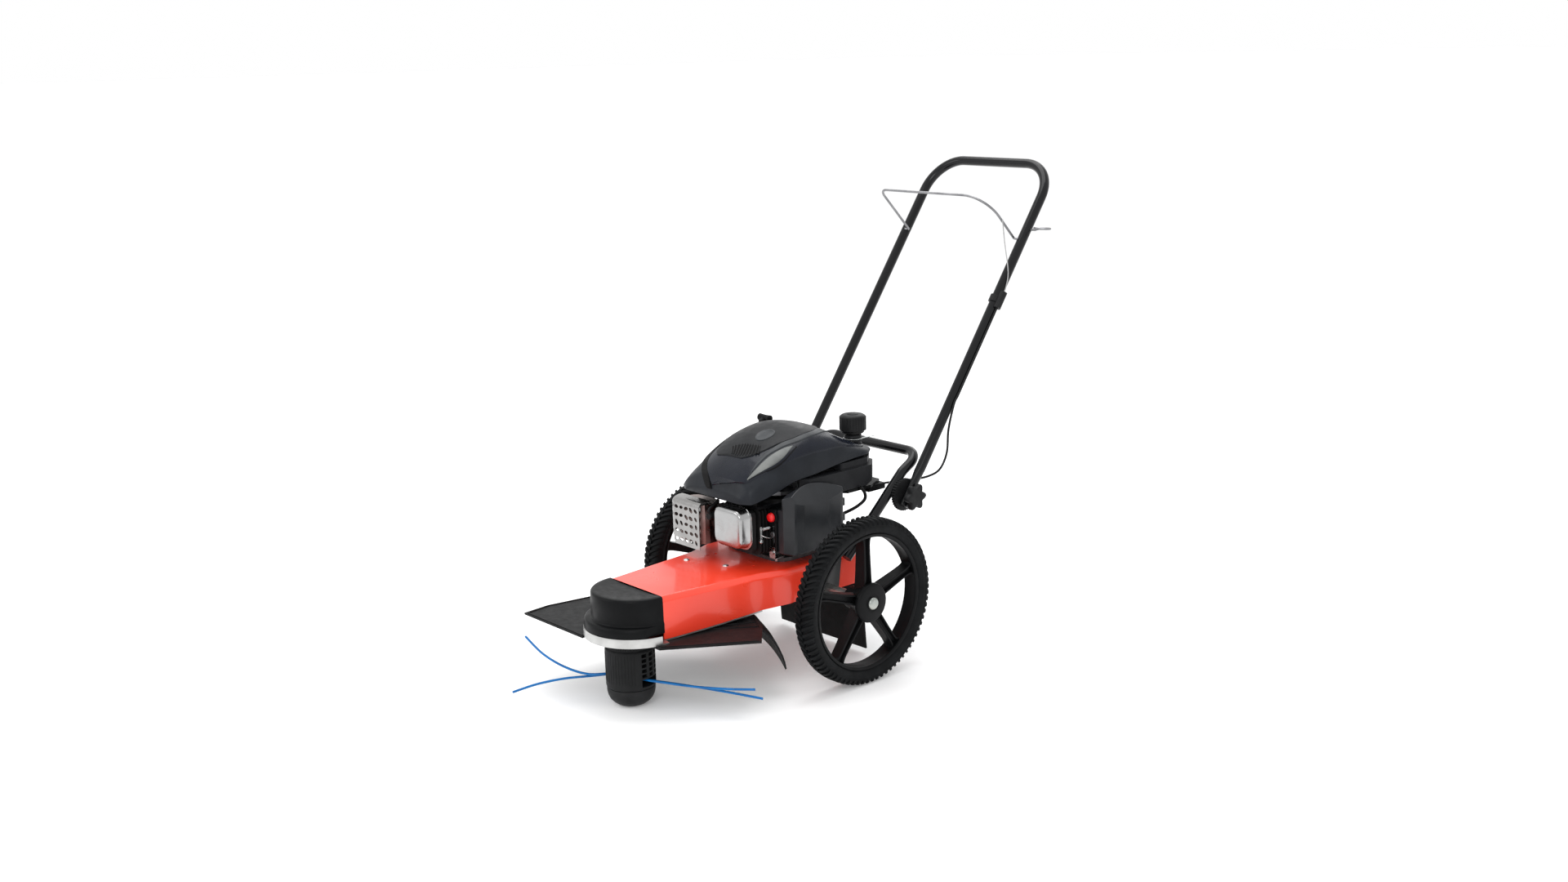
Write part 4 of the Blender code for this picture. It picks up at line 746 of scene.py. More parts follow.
# Trimmer guard
# One black polypropylene moulding bolted up under the deck: a flat plate notched round the
# head, a pointed wing each side and a deep skirt behind that keeps cuttings off the user.
guard_plastic = moulded("guard_polypropylene", (0.0048, 0.0050, 0.0054), (0.0085, 0.0088, 0.0094), 0.48,
                        700.0, 0.25)

GUARD_TOP = TRAY_Z - SEAT_GAP
GUARD_SHEET = 0.004
GUARD_RADIUS = 0.272
NOTCH_RADIUS = 0.066


def round_head(radius, degrees, z=None):
    a = math.radians(degrees)
    flat = (radius * math.sin(a), HEAD_Y + radius * math.cos(a))
    return flat if z is None else (*flat, z)


def fused(base, *tools):
    return combined(base, tools, "UNION")


plate = [round_head(GUARD_RADIUS, -52 + 91 * k / 48) for k in range(49)]
plate += [(0.229, -0.262), (0.116, -0.432), (0.070, -0.432)]
plate += [round_head(NOTCH_RADIUS, 90 - 180 * k / 32) for k in range(33)]
plate += [(-0.052, -0.500), (-0.262, -0.502), (-0.268, -0.440), (-0.250, -0.330)]
guard = prism(plate, "Z", GUARD_TOP - GUARD_SHEET, GUARD_TOP)

skirt_curve = ((0.262, 0.0), (0.2685, 0.03), (0.2745, 0.09), (0.2800, 0.19), (0.2850, 0.33),
               (0.2888, 0.50), (0.2918, 0.68), (0.2942, 0.85), (0.2960, 1.0))
skirt = []
for k in range(61):
    across_skirt = k / 60
    late = max(0.0, (across_skirt * 12 - 7) / 5)
    drop = 0.052 + 0.040 * late ** 1.8
    spread = 0.024 * late * late
    flare = [(r + spread * math.sin(share * math.pi / 2), drop * share) for r, share in skirt_curve]
    outer = [(r, GUARD_TOP - 0.001 - fall) for r, fall in flare]
    inner = [(r - 0.003, GUARD_TOP - 0.0035 - fall) for r, fall in flare]
    skirt.append([round_head(r, -50 + 87.5 * across_skirt, z) for r, z in outer + inner[::-1]])
guard = fused(guard, loft(skirt))


def rib_section(half, half_top, height):
    return ((-half, GUARD_TOP - 0.001), (half, GUARD_TOP - 0.001), (half_top, GUARD_TOP + height),
            (-half_top, GUARD_TOP + height))


def guard_rib(degrees):
    rib = loft([[(x, r, z) for x, z in rib_section(0.0013, 0.00078, 0.0018)] for r in (0.150, 0.262)])
    return shifted(rib, (0, HEAD_Y, 0), -math.radians(degrees))


hoops = []
for radius in (0.186, 0.226, 0.264):
    for start, end in ((-50, -27), (24, 37)):
        hoops.append(loft([[round_head(radius + w, start + (end - start) * k / 16, z)
                            for w, z in rib_section(0.0013, 0.0008, 0.0018)] for k in range(17)]))
guard_ribs = [guard_rib(degrees) for degrees in (-49, -42, -35, -28, 25, 31, 37)]
wing_rim = []
for corners in ([(-0.0560, -0.4965), (-0.2540, -0.4982), (-0.2620, -0.4400), (-0.2450, -0.3330)],
                [(0.1120, -0.4260), (0.2230, -0.2640)]):
    for a, b in zip(corners, corners[1:]):
        start, end = Vector((*a, 0)), Vector((*b, 0))
        side = (end - start).normalized().cross(Vector((0, 0, 1)))
        wing_rim.append(loft([[tuple(p + side * w + Vector((0, 0, z)))
                               for w, z in rib_section(0.0016, 0.0011, 0.0016)]
                              for p in (start, end)]))
piece("guard", joined(guard, *guard_ribs, *hoops, *wing_rim), guard_plastic, stands_for="trimmer_guard",
      sharp=32)


# Rear flap
# A 4 mm sheet of fibre filled rubber screwed to the back of the deck through a black strip. It
# stops just short of the ground and bellies a little under its own weight.
flap_rubber = moulded("fibre_filled_rubber", (0.0090, 0.0090, 0.0092), (0.0125, 0.0125, 0.0128), 0.72, 180.0,
                      0.4)
flap_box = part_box("rear_flap")
FLAP_HALF = flap_box[1].x
FLAP_Y = flap_box[0].y - AXLE_Y
flap_rows = []
for k in range(33):
    share = k / 32
    z = flap_box[1].z + (flap_box[0].z - flap_box[1].z) * share
    y = FLAP_Y + 0.009 * max(0.0, (share - 0.15) / 0.85) ** 2
    front = [(-FLAP_HALF + 2 * FLAP_HALF * i / 24, y + 0.0005 * math.sin(i * 0.9) * share, z)
             for i in range(25)]
    back = [(x, yy + 0.0038, zz) for x, yy, zz in front]
    flap_rows.append(front + back[::-1])
flap = loft(flap_rows)
strip = prism(oblong(-0.128, 0.128, 0.1085, 0.1110), "Z", 0.2130, 0.2300)
piece("flap", joined(flap, strip), flap_rubber, stands_for="rear_flap", sharp=40)


def hex_screw(centre, axis, radius, height, outward=1):
    flange = [(0.0, -0.0008), (radius * 1.32, -0.0008), (radius * 1.36, 0.0002), (radius * 1.30, 0.0010),
              (0.0, 0.0016)]
    head = [(0.0, 0.0004), (radius, 0.0004), (radius, height - 0.0008), (radius * 0.90, height),
            (0.0, height)]
    return joined(*(turned([(r, h * outward) for r, h in part], centre, axis, sides)
                    for part, sides in ((flange, 24), (head, 6))))


flap_screws = repeated(hex_screw((-0.108, 0, 0.2215), "Y", 0.0042, 0.0042), 4, zinc, step=(0.072, 0, 0))
piece("flap_screws", shifted(flap_screws, (0, 0.1108, 0)), zinc, sharp=25)


# Frame bars and axle
# A pressed steel bar each side, sprayed black, is held to the deck by two zinc plated hexagon
# screws and carries the axle: a plain steel bar with a sleeve between the wheels.
chassis_black = enamel("chassis_black", (0.0050, 0.0053, 0.0058), (0.0080, 0.0084, 0.0090), 0.36, 0.2)
for node in ("left_frame_bar", "right_frame_bar"):
    dress(node, chassis_black)
plain_steel = bare_metal("drawn_steel", (0.36, 0.36, 0.35), (0.52, 0.52, 0.50), 0.34, (14, 1, 1), 180.0, 0.1)
dress("axle", plain_steel)
screw_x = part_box("left_frame_bar")[1].x - 0.0002
bar_screws = [hex_screw((side * screw_x, y, 0.2200), "X", 0.0062, 0.0042, side)
              for y in (-0.028, -0.006) for side in (1, -1)]
piece("frame_bar_screws", joined(*bar_screws), zinc, sharp=25)


# Wheels
# Solid rubber tyres with two staggered rows of slanted lugs, on one piece glass filled rims with
# five spokes, each with a rib down both edges. A zinc plated cap pressed on the axle holds each.
tyre_rubber = moulded("tyre_rubber", (0.0034, 0.0038, 0.0042), (0.0066, 0.0072, 0.0080), 0.58, 520.0, 0.3,
                      shine=0.10)
rim_plastic = moulded("rim_nylon", (0.0032, 0.0034, 0.0038), (0.0056, 0.0059, 0.0066), 0.40, 500.0, 0.12,
                      shine=0.10)
cap_zinc = bare_metal("passivated_zinc", (0.28, 0.31, 0.30), (0.42, 0.43, 0.40), 0.26, depth=0.05)

tyre_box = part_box("left_tyre")
WHEEL_RADIUS = (tyre_box[1].z - tyre_box[0].z) / 2
WHEEL_X, _, WHEEL_Z = centre_of("left_tyre")
BEAD_RADIUS = 0.1460
CARCASS_RADIUS = WHEEL_RADIUS - 0.0045
LUGS_IN_ROW = 78
SPOKES = 5

carcass_side = [(BEAD_RADIUS, 0.0165), (BEAD_RADIUS + 0.0008, 0.0180), (BEAD_RADIUS + 0.0030, 0.0200),
                (BEAD_RADIUS + 0.0045, 0.0214), (BEAD_RADIUS + 0.0062, 0.0216),
                (BEAD_RADIUS + 0.0080, 0.0226), (BEAD_RADIUS + 0.0120, 0.0238),
                (BEAD_RADIUS + 0.0165, 0.0240), (BEAD_RADIUS + 0.0200, 0.0234),
                (BEAD_RADIUS + 0.0235, 0.0216), (BEAD_RADIUS + 0.0258, 0.0185),
                (CARCASS_RADIUS - 0.0006, 0.0120), (CARCASS_RADIUS, 0.0060)]
carcass_profile = [(r, -x) for r, x in carcass_side] + [(r, x) for r, x in carcass_side[::-1]]
lug_rows = []
for x, low, high, thick in ((0.0010, 0.1700, 0.1779, 0.0041), (0.0100, 0.1700, 0.1779, 0.0039),
                            (0.0170, 0.1690, 0.1768, 0.0037), (0.0215, 0.1670, 0.1742, 0.0035),
                            (0.0243, 0.1640, 0.1700, 0.0029)):
    lean = 0.0125 * (x / 0.0243) / WHEEL_RADIUS
    flank = ((low, thick), (high - 0.0006, thick * 0.80), (high, thick * 0.68))
    ring = [(r, lean + half / r) for r, half in flank] + [(r, lean - half / r) for r, half in flank[::-1]]
    lug_rows.append([(x, r * math.sin(a), r * math.cos(a)) for r, a in ring])
lug = loft(lug_rows)
half_pitch = math.pi / LUGS_IN_ROW


def mirrored(mesh):
    other = mesh.copy()
    other.transform(Matrix.Scale(-1, 4, (1, 0, 0)))
    other.flip_normals()
    return other


def at_wheel(side, mesh):
    return shifted(mirrored(mesh) if side < 0 else mesh, (side * WHEEL_X, 0, WHEEL_Z))


def tyre_at(side):
    one_row = repeated(lug.copy(), LUGS_IN_ROW, tyre_rubber, turn=(2 * half_pitch, 0, 0))
    other_row = shifted(mirrored(one_row), spin=half_pitch, axis="X")
    sidewall_ribs = []
    for flank in (1, -1):
        ridge = [(BEAD_RADIUS + 0.0168, flank * 0.0230), (BEAD_RADIUS + 0.0176, flank * 0.0246),
                 (BEAD_RADIUS + 0.0190, flank * 0.0246), (BEAD_RADIUS + 0.0198, flank * 0.0228)]
        sidewall_ribs.append(turned(ridge, (0, 0, 0), "X", 120, closed=True))
    body = joined(turned(carcass_profile, (0, 0, 0), "X", 120, closed=True), one_row, other_row,
                  *sidewall_ribs)
    return shifted(body, (side * WHEEL_X, 0, WHEEL_Z))


HUB_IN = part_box("left_rim")[0].x
HUB_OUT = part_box("left_rim")[1].x
AXLE_RADIUS = 0.0081
spoke_stations = ((0.024, 0.0128), (0.036, 0.0112), (0.050, 0.0103), (0.075, 0.0095), (0.105, 0.0089),
                  (0.122, 0.0089), (0.130, 0.0096), (0.1355, 0.0114), (0.1400, 0.0150))


def spoke():
    rings = []
    for r, wide in spoke_stations:
        lift = 0.0125 + 0.0030 * max(0.0, 1 - (r - 0.024) / 0.09)
        half = [(-wide, -lift), (-wide, lift - 0.0010), (-wide + 0.0008, lift), (-wide + 0.0032, lift),
                (-wide + 0.0040, lift - 0.0012), (-wide + 0.0048, lift * 0.42)]
        ring = half + [(0.0, lift * 0.36)] + [(-u, v) for u, v in half[::-1]]
        rings.append([(v, u, r) for u, v in ring])
    return loft(rings)


def rim_at(side):
    seat = 0.1454
    ring = [(0.1382, -0.0150), (0.1386, -0.0166), (0.1400, -0.0178), (0.1438, -0.0190), (seat, -0.0186),
            (seat, 0.0186), (0.1438, 0.0190), (0.1400, 0.0178), (0.1386, 0.0166), (0.1382, 0.0150),
            (0.1392, 0.0120), (0.1394, 0.0), (0.1392, -0.0120)]
    hub_in = HUB_IN - WHEEL_X
    hub_out = HUB_OUT - WHEEL_X
    hub = [(AXLE_RADIUS, hub_in), (0.0230, hub_in), (0.0240, hub_in + 0.0012), (0.0260, -0.0170),
           (0.0300, -0.0060), (0.0372, 0.0100), (0.0396, 0.0148), (0.0418, 0.0166), (0.0424, 0.0180),
           (0.0422, 0.0215), (0.0410, 0.0246), (0.0392, hub_out - 0.0008), (0.0372, hub_out - 0.0001),
           (0.0190, hub_out - 0.0001), (0.0182, hub_out - 0.0008), (0.0160, hub_out - 0.0010),
           (0.0150, hub_out - 0.0001), (AXLE_RADIUS, hub_out - 0.0001)]
    spokes = repeated(spoke(), SPOKES, rim_plastic, turn=(2 * math.pi / SPOKES, 0, 0))
    body = joined(turned(ring, (0, 0, 0), "X", 120, closed=True),
                  turned(hub, (0, 0, 0), "X", 64, closed=True), spokes)
    return at_wheel(side, body)


def push_cap(side):
    face = HUB_OUT - WHEEL_X + SEAT_GAP
    dome = [(AXLE_RADIUS + 0.0004, face), (0.0130, face), (0.0136, face + 0.0006), (0.0134, face + 0.0022),
            (0.0124, face + 0.0038), (0.0108, face + 0.0052), (0.0088, face + 0.0060),
            (0.0050, face + 0.0062), (0.0, face + 0.0062)]
    inner = [(0.0, face + 0.0060), (AXLE_RADIUS + 0.0004, face + 0.0060)]
    return at_wheel(side, turned(dome + inner, (0, 0, 0), "X", 48, closed=True))


for side, label in ((1, "left"), (-1, "right")):
    for name, node, mesh, finish, sharp in (("_tyre_and_lugs", "_tyre", tyre_at(side), tyre_rubber, 40),
                                            ("_spoked_rim", "_rim", rim_at(side), rim_plastic, 36),
                                            ("_push_cap", "_hub_cap", push_cap(side), cap_zinc, 50)):
        piece(label + name, mesh, finish, label + "_wheel", stands_for=label + node, sharp=sharp)


# Engine block and cylinder
# A cast aluminium crankcase stands on the deck on a flanged foot, with the cylinder lying
# forward and a black sheet above. All three keep the frame's solids, the fins in heat proof black.
# The crankcase's grey is far darker than bare aluminium: painted shade where the block meets the deck.
cast_aluminium_painted_shade = bare_metal("cast_aluminium_painted_shade", (0.070, 0.070, 0.072), (0.130, 0.130, 0.133), 0.50, depth=0.25)
heat_black = moulded("heat_proof_black", (0.0070, 0.0070, 0.0072), (0.0130, 0.0130, 0.0132), 0.58, 260.0,
                     0.25)
dress("crankcase", cast_aluminium_painted_shade)
dress("cylinder", heat_black)
dress("blower_base", satin_black)


# Valve cover
# A pillow pressed from bright plated sheet closes the rocker space at the front of the
# cylinder head. Its thin flange is clamped all round on a paper gasket.
bright_plate = bare_metal("bright_plated_sheet", (0.36, 0.36, 0.36), (0.40, 0.40, 0.40), 0.20, grain=40.0,
                          depth=0.006)

VALVE_LEFT = 0.0770
VALVE_RIGHT = -0.0145
VALVE_LOW = 0.2860
VALVE_HIGH = 0.3715
VALVE_CORNER = 0.0210
valve_rows = ((-0.1534, 0.0046), (-0.1546, 0.0050), (-0.1556, 0.0046), (-0.1560, 0.0014), (-0.1568, 0.0),
              (-0.1750, -0.0014), (-0.1786, -0.0026), (-0.1808, -0.0048), (-0.1818, -0.0078),
              (-0.1820, -0.0130))


def soft_rectangle(left, right, low, high, radius, steps=8):
    return [tuple(p) for p in rounded(oblong(left, right, low, high), radius, steps)]


valve_rings = []
for y, grow in valve_rows:
    outline = soft_rectangle(VALVE_RIGHT - grow, VALVE_LEFT + grow, VALVE_LOW - grow,
                             VALVE_HIGH + min(grow, 0.0018), VALVE_CORNER + grow, 10)
    valve_rings.append([(x, y, z) for x, z in outline])
piece("rocker_cover", loft(valve_rings), bright_plate, stands_for="valve_cover", sharp=60)


# Muffler and its guard
# The welded steel muffler keeps the frame's solid in heat tinted steel. A polished stainless
# sheet, pierced with slanted holes and rolled over at the top, keeps hands off its hot front.
hot_steel = bare_metal("heat_tinted_steel", (0.16, 0.115, 0.105), (0.26, 0.20, 0.185), 0.30)
polished_sheet = bare_metal("polished_stainless", (0.30, 0.295, 0.29), (0.36, 0.355, 0.35), 0.26, depth=0.02)
dress("muffler", hot_steel)

SHIELD_LEFT = -0.0470
SHIELD_RIGHT = -0.1530
SHIELD_FRONT = -0.1925
SHIELD_BACK = -0.1600
SHIELD_LOW = 0.2650
SHIELD_TOP = 0.3680
SHIELD_SHEET = 0.0013
SHIELD_ROLL = 0.0130


def rolled_rows(sheet):
    rows = [(SHIELD_LOW, 0.0), (SHIELD_TOP - SHIELD_ROLL - 0.020, 0.0)]
    for k in range(1, 9):
        a = math.radians(90.0 * k / 8)
        rows.append((SHIELD_TOP - SHIELD_ROLL + (SHIELD_ROLL - sheet) * math.sin(a),
                     SHIELD_ROLL * (1 - math.cos(a)) * 0.9))
    return rows


def shield_body(sheet, left_end, drop):
    rings = []
    for z, inset in rolled_rows(sheet):
        corners = oblong(SHIELD_RIGHT + inset + sheet, left_end, SHIELD_FRONT + inset + sheet, -0.1000)
        outline = rounded(corners, [0.0240 - sheet, 0.0, 0.0, 0.0100], 10)
        rings.append([(p.x, p.y, z - (drop if z == SHIELD_LOW else 0.0)) for p in outline])
    return loft(rings)


def drawn(tree, kind, low, high, seed):
    value = tree.nodes.new("FunctionNodeRandomValue")
    value.data_type = kind
    value.inputs["Seed"].default_value = seed
    pair = [socket for socket in value.inputs if socket.enabled and socket.name in ("Min", "Max")]
    for socket, bound in zip(pair, (low, high)):
        if isinstance(bound, float):
            socket.default_value = bound
        else:
            tree.links.new(bound, socket)
    return next(socket for socket in value.outputs if socket.enabled)


def pierced_tree():
    tree, given = new_tree("slanted piercings", (("Width", "Float"), ("Height", "Float"), ("Columns", "Int"),
                                                 ("Rows", "Int"), ("Scatter", "Vector")))
    lattice = tree.nodes.new("GeometryNodeMeshGrid")
    for label, socket in (("Width", "Size X"), ("Height", "Size Y"), ("Columns", "Vertices X"),
                          ("Rows", "Vertices Y")):
        tree.links.new(given[label], lattice.inputs[socket])
    loose = tree.nodes.new("GeometryNodeSetPosition")
    tree.links.new(lattice.outputs["Mesh"], loose.inputs["Geometry"])
    least = scaled(tree, given["Scatter"], -1.0)
    tree.links.new(drawn(tree, "FLOAT_VECTOR", least, given["Scatter"], 5), loose.inputs["Offset"])
    holes = copies_on(tree, given, loose.outputs["Geometry"])
    turn = tree.nodes.new("ShaderNodeCombineXYZ")
    tree.links.new(drawn(tree, "FLOAT", math.radians(-75), math.radians(30), 11), turn.inputs["Z"])
    tree.links.new(turn.outputs["Vector"], holes.inputs["Rotation"])
    tree.links.new(drawn(tree, "FLOAT", 0.78, 1.0, 3), holes.inputs["Scale"])
    return close_tree(tree, given, holes.outputs["Instances"])


HOLE_LENGTH_HALF = 0.0070
HOLE_WIDTH_HALF = 0.0042
oval = [(HOLE_LENGTH_HALF * math.cos(a), HOLE_WIDTH_HALF * math.sin(a)) for a in around(14)]
punches = grown(pierced_tree(), prism(oval, "Z", -0.006, 0.006),
                {"Width": 0.0830, "Height": 0.0700, "Columns": 6, "Rows": 5, "Scatter": (0.0011, 0.0011, 0.0),
                 "Finish": polished_sheet})
shifted(punches, (-0.1000, SHIELD_FRONT, 0.3130), math.radians(90), "X")
open_back = prism(oblong(-0.20, 0.0, SHIELD_BACK, -0.05), "Z", 0.20, 0.40)
low_corner = prism([(-0.1600, 0.2500), (-0.1240, 0.2500), (-0.1300, 0.2660), (-0.1600, 0.2960)], "Y",
                   -0.200, -0.150)
shield = cut(shield_body(0.0, SHIELD_LEFT, 0.0), shield_body(SHIELD_SHEET, 0.0, 0.01), open_back, low_corner)
piece("muffler_shield", cut(shield, punches), polished_sheet, stands_for="muffler_guard", sharp=50)

strap_section = [(-0.1500, 0.3586), (-0.1795, 0.3586), (-0.1795, 0.3430), (-0.1806, 0.3430),
                 (-0.1806, 0.3598), (-0.1500, 0.3598)]
piece("muffler_strap", prism(strap_section, "X", -0.0740, -0.0560), bright_plate,
      sharp=30)


# Spark plug lead
# A moulded rubber boot covers the plug beside the valve cover, and its lead climbs to the
# coil under the shroud.
lead_rubber = moulded("lead_rubber", (0.0060, 0.0060, 0.0064), (0.0110, 0.0110, 0.0115), 0.45, 300.0, 0.15)
PLUG_X = -0.0275
boot = turned([(0.0, -0.1535), (0.0056, -0.1535), (0.0056, -0.1620), (0.0076, -0.1630), (0.0079, -0.1660),
               (0.0074, -0.1690), (0.0078, -0.1720), (0.0078, -0.1800), (0.0070, -0.1822), (0.0, -0.1830)],
              (PLUG_X, 0, 0.3420), "Y", 32)
lead = tube(flowing([(PLUG_X, -0.1760, 0.3440), (PLUG_X, -0.1800, 0.3560), (PLUG_X, -0.1600, 0.3680),
                     (PLUG_X, -0.1530, 0.3740)], 10), 0.0031, 16)
piece("plug_boot_and_lead", fused(boot, lead), lead_rubber, stands_for="spark_plug", sharp=45)


# Carburettor and governor links
# A zinc die casting with a round fuel bowl feeds the cylinder. The governor arm, its spring
# and the heat shield tab in front of it are bent from plated wire and strip.
carb_zinc = bare_metal("die_cast_zinc", (0.26, 0.27, 0.28), (0.42, 0.43, 0.44), 0.40, depth=0.15)


def slab(left, right, front, back, low, high, radius=0.002):
    return prism(soft_rectangle(left, right, front, back, radius, 4), "Z", low, high)


throttle_body = slab(0.0844, 0.1060, -0.1010, -0.0680, 0.2900, 0.3300)
bowl_centre = (0.0950, -0.0850, 0)
bowl = turned([(0.0, 0.2740), (0.0080, 0.2740), (0.0100, 0.2758), (0.0103, 0.2860), (0.0108, 0.2872),
               (0.0108, 0.2905), (0.0, 0.2905)], bowl_centre, "Z", 32)
bowl_nut = turned([(0.0, 0.2722), (0.0032, 0.2722), (0.0036, 0.2745), (0.0, 0.2745)], bowl_centre, "Z", 6)
air_horn = turned([(0.0, -0.1112), (0.0054, -0.1112), (0.0062, -0.1100), (0.0062, -0.1000), (0.0, -0.1000)],
                  (0.0950, 0, 0.3120), "Y", 24)
piece("carburettor_body", fused(throttle_body, bowl, bowl_nut, air_horn), carb_zinc,
      stands_for="carburettor", sharp=35, edge=0.0006)

SPRING_X = 0.0900
SPRING_Z = 0.3270
SPRING_RADIUS = 0.0030
SPRING_COILS = 10
SPRING_STEPS = 12 * SPRING_COILS
coil = []
for k in range(SPRING_STEPS + 1):
    a = 2 * math.pi * SPRING_COILS * k / SPRING_STEPS
    coil.append((SPRING_X + SPRING_RADIUS * math.cos(a), -0.1150 - 0.0170 * k / SPRING_STEPS,
                 SPRING_Z + SPRING_RADIUS * math.sin(a)))
links = [tube(coil, 0.0006, 8)]
for start, end in ((-0.1010, -0.1160), (-0.1310, -0.1365)):
    links.append(rod((SPRING_X, start, SPRING_Z), (SPRING_X, end, SPRING_Z), 0.0009, 12))
arm = prism(soft_rectangle(-0.1385, -0.1335, 0.2960, 0.3330, 0.0024), "X", 0.0874, 0.0890)
links += [arm, turned([(0.0, 0.0866), (0.0045, 0.0866), (0.0045, 0.0900), (0.0030, 0.0912), (0.0, 0.0912)],
                      (0, -0.1360, 0.3010), "X", 6),
          tube(flowing([(0.0893, -0.1360, 0.3150), (0.0950, -0.1330, 0.3120), (0.0985, -0.1220, 0.3080),
                        (0.0990, -0.1060, 0.3060), (0.0985, -0.0990, 0.3060)], 8), 0.0009, 10)]
piece("governor_links", joined(*links), zinc, sharp=40)

tab = joined(prism(soft_rectangle(0.0870, 0.1045, 0.2622, 0.2860, 0.0035), "Y", -0.1128, -0.1114),
             prism(oblong(0.0870, 0.1045, -0.1128, -0.0960), "Z", 0.2608, 0.2621),
             turned([(0.0, -0.1160), (0.0034, -0.1160), (0.0040, -0.1150), (0.0040, -0.1128), (0.0, -0.1128)],
                    (0.0980, 0, 0.2740), "Y", 6),
             rod((0.0935, -0.1000, 0.2520), (0.0935, -0.1000, 0.2609), 0.0030, 16))
piece("control_tab", tab, bright_plate, sharp=30)


# Air filter
# A black moulded base bolts to the carburettor and carries the red silicone primer bulb in
# a ring. The cover clips over it, with a shoulder that slopes outward under a crowned top.
silicone_red = moulded("silicone_red", (0.62, 0.004, 0.006), (0.72, 0.008, 0.010), 0.26, 300.0, 0.03,
                       shine=0.5)
filter_black = moulded("filter_cover_black", (0.0080, 0.0092, 0.0115), (0.0125, 0.0142, 0.0170), 0.34, 620.0,
                       0.10, shine=0.35)

PRIMER_X, _, PRIMER_Z = centre_of("primer_bulb")
primer_seat = (PRIMER_X, 0, PRIMER_Z)
base = fused(slab(0.0723, 0.1119, -0.0540, 0.0450, 0.2780, 0.3650),
             slab(0.0846, 0.1119, -0.1149, -0.0500, 0.3331, 0.3687),
             slab(0.1063, 0.1119, -0.1149, -0.0530, 0.2780, 0.3340, 0.001),
             turned([(0.0, -0.1120), (0.0152, -0.1120), (0.0152, -0.1152), (0.0143, -0.1166), (0.0, -0.1166)],
                    primer_seat, "Y", 64))
base = cut(base, rod((PRIMER_X, -0.1200, PRIMER_Z), (PRIMER_X, -0.1060, PRIMER_Z), 0.01045, 64))
piece("filter_base", base, satin_black, stands_for="air_filter_base", sharp=35)

bulb_profile = [(0.0, -0.1111), (0.0100, -0.1111), (0.0100, -0.1168), (0.0098, -0.1190), (0.0092, -0.1212),
                (0.0078, -0.1231), (0.0055, -0.1241), (0.0028, -0.1245), (0.0, -0.1246)]
piece("primer_button", turned(bulb_profile, primer_seat, "Y", 64), silicone_red, "primer",
      stands_for="primer_bulb", sharp=45)

COVER_FRONT_Y = -0.1100
COVER_REAR_Y = 0.0450
COVER_FOOT_Z = 0.2735
COVER_LENGTH = COVER_REAR_Y - COVER_FRONT_Y
filter_stations = [(COVER_FRONT_Y + back, narrower, lower) for back, narrower, lower in
                   ((0.0, 0.0225, 0.0030), (0.0014, 0.0205, 0.0012), (0.0110, 0.0030, 0.0),
                    (0.0130, 0.0008, 0.0), (0.0160, 0.0, 0.0))]
filter_stations += [(COVER_FRONT_Y + 0.0160 + (COVER_LENGTH - 0.0240) * k / 24, 0.0, 0.0)
                    for k in range(1, 25)]
filter_stations += [(COVER_REAR_Y - ahead, narrower, lower) for ahead, narrower, lower in
                    ((0.0050, 0.0008, 0.0), (0.0022, 0.0030, 0.0), (0.0006, 0.0062, 0.0010),
                     (0.0, 0.0090, 0.0022))]
filter_rings = []
for y, narrower, lower in filter_stations:
    swell = math.sin(math.pi * (y - COVER_FRONT_Y) / COVER_LENGTH)
    outer = 0.1520 - narrower
    shoulder_low = 0.3915 - 0.0160 * swell - lower
    ridge_x = min(0.1500 - 0.0215 * swell, outer - 0.0010)
    ridge_z = 0.3950 + 0.0180 * swell - lower
    foot = COVER_FOOT_Z + lower
    outline = [(0.1127, foot), (outer - 0.0040, foot), (outer - 0.0012, foot + 0.0012),
               (outer, foot + 0.0040), (outer, shoulder_low - 0.0014), (outer - 0.0005, shoulder_low),
               (outer + (ridge_x - outer) * 0.4, shoulder_low + (ridge_z - shoulder_low) * 0.5),
               (ridge_x, ridge_z), (ridge_x - 0.0016, ridge_z + 0.0008), (0.1272, ridge_z + 0.0006),
               (0.1262, ridge_z - 0.0006), (0.1262, 0.3684), (0.1127, 0.3684)]
    filter_rings.append([(x, y, z) for x, z in outline])
latches = [slab(0.1330, 0.1455, 0.0440, 0.0525, 0.3200 + shift, 0.3360 + shift, 0.0015)
           for shift in (0.0, 0.0330)]
piece("filter_cover", joined(loft(filter_rings), *latches), filter_black, stands_for="air_filter_cover",
      sharp=20)


# Engine shroud
# A domed cowl in charcoal polypropylene over the flywheel, with a lower shelf round its front
# and left. A darker hood panel lies on it, with a silver stripe and a raised vented crown.
charcoal = moulded("charcoal_cowl", (0.0105, 0.0122, 0.0155), (0.0145, 0.0168, 0.0210), 0.38, 620.0, 0.10,
                   shine=0.15)
hood_black = moulded("hood_navy_black", (0.0036, 0.0050, 0.0100), (0.0058, 0.0078, 0.0142), 0.24, 620.0, 0.06,
                     shine=0.24)
crown_grey = moulded("crown_grey", (0.0065, 0.0072, 0.0086), (0.0100, 0.0108, 0.0126), 0.40, 620.0, 0.12,
                     shine=0.16)
# A lighter grey: the round plate's own colour, and a painted highlight along the crown's ridge.
ridge_highlight_and_plate_grey = moulded("ridge_highlight_and_plate_grey", (0.022, 0.025, 0.028), (0.030, 0.034, 0.038), 0.34, 620.0, 0.06,
                     shine=0.24)
# A flat black that stands for painted shade in the cowl's seam, the stripe's crease, the vent openings and
# the gap under the shroud's front.
painted_shade_black = moulded("painted_shade_black", (0.0020, 0.0020, 0.0022), (0.0030, 0.0030, 0.0032), 0.6, 300.0, 0.1)
stripe_silver = moulded("silver_stripe", (0.115, 0.120, 0.118), (0.150, 0.156, 0.150), 0.34, 800.0, 0.05)
stripe_silver.node_tree.nodes["Principled BSDF"].inputs["Metallic"].default_value = 0.35

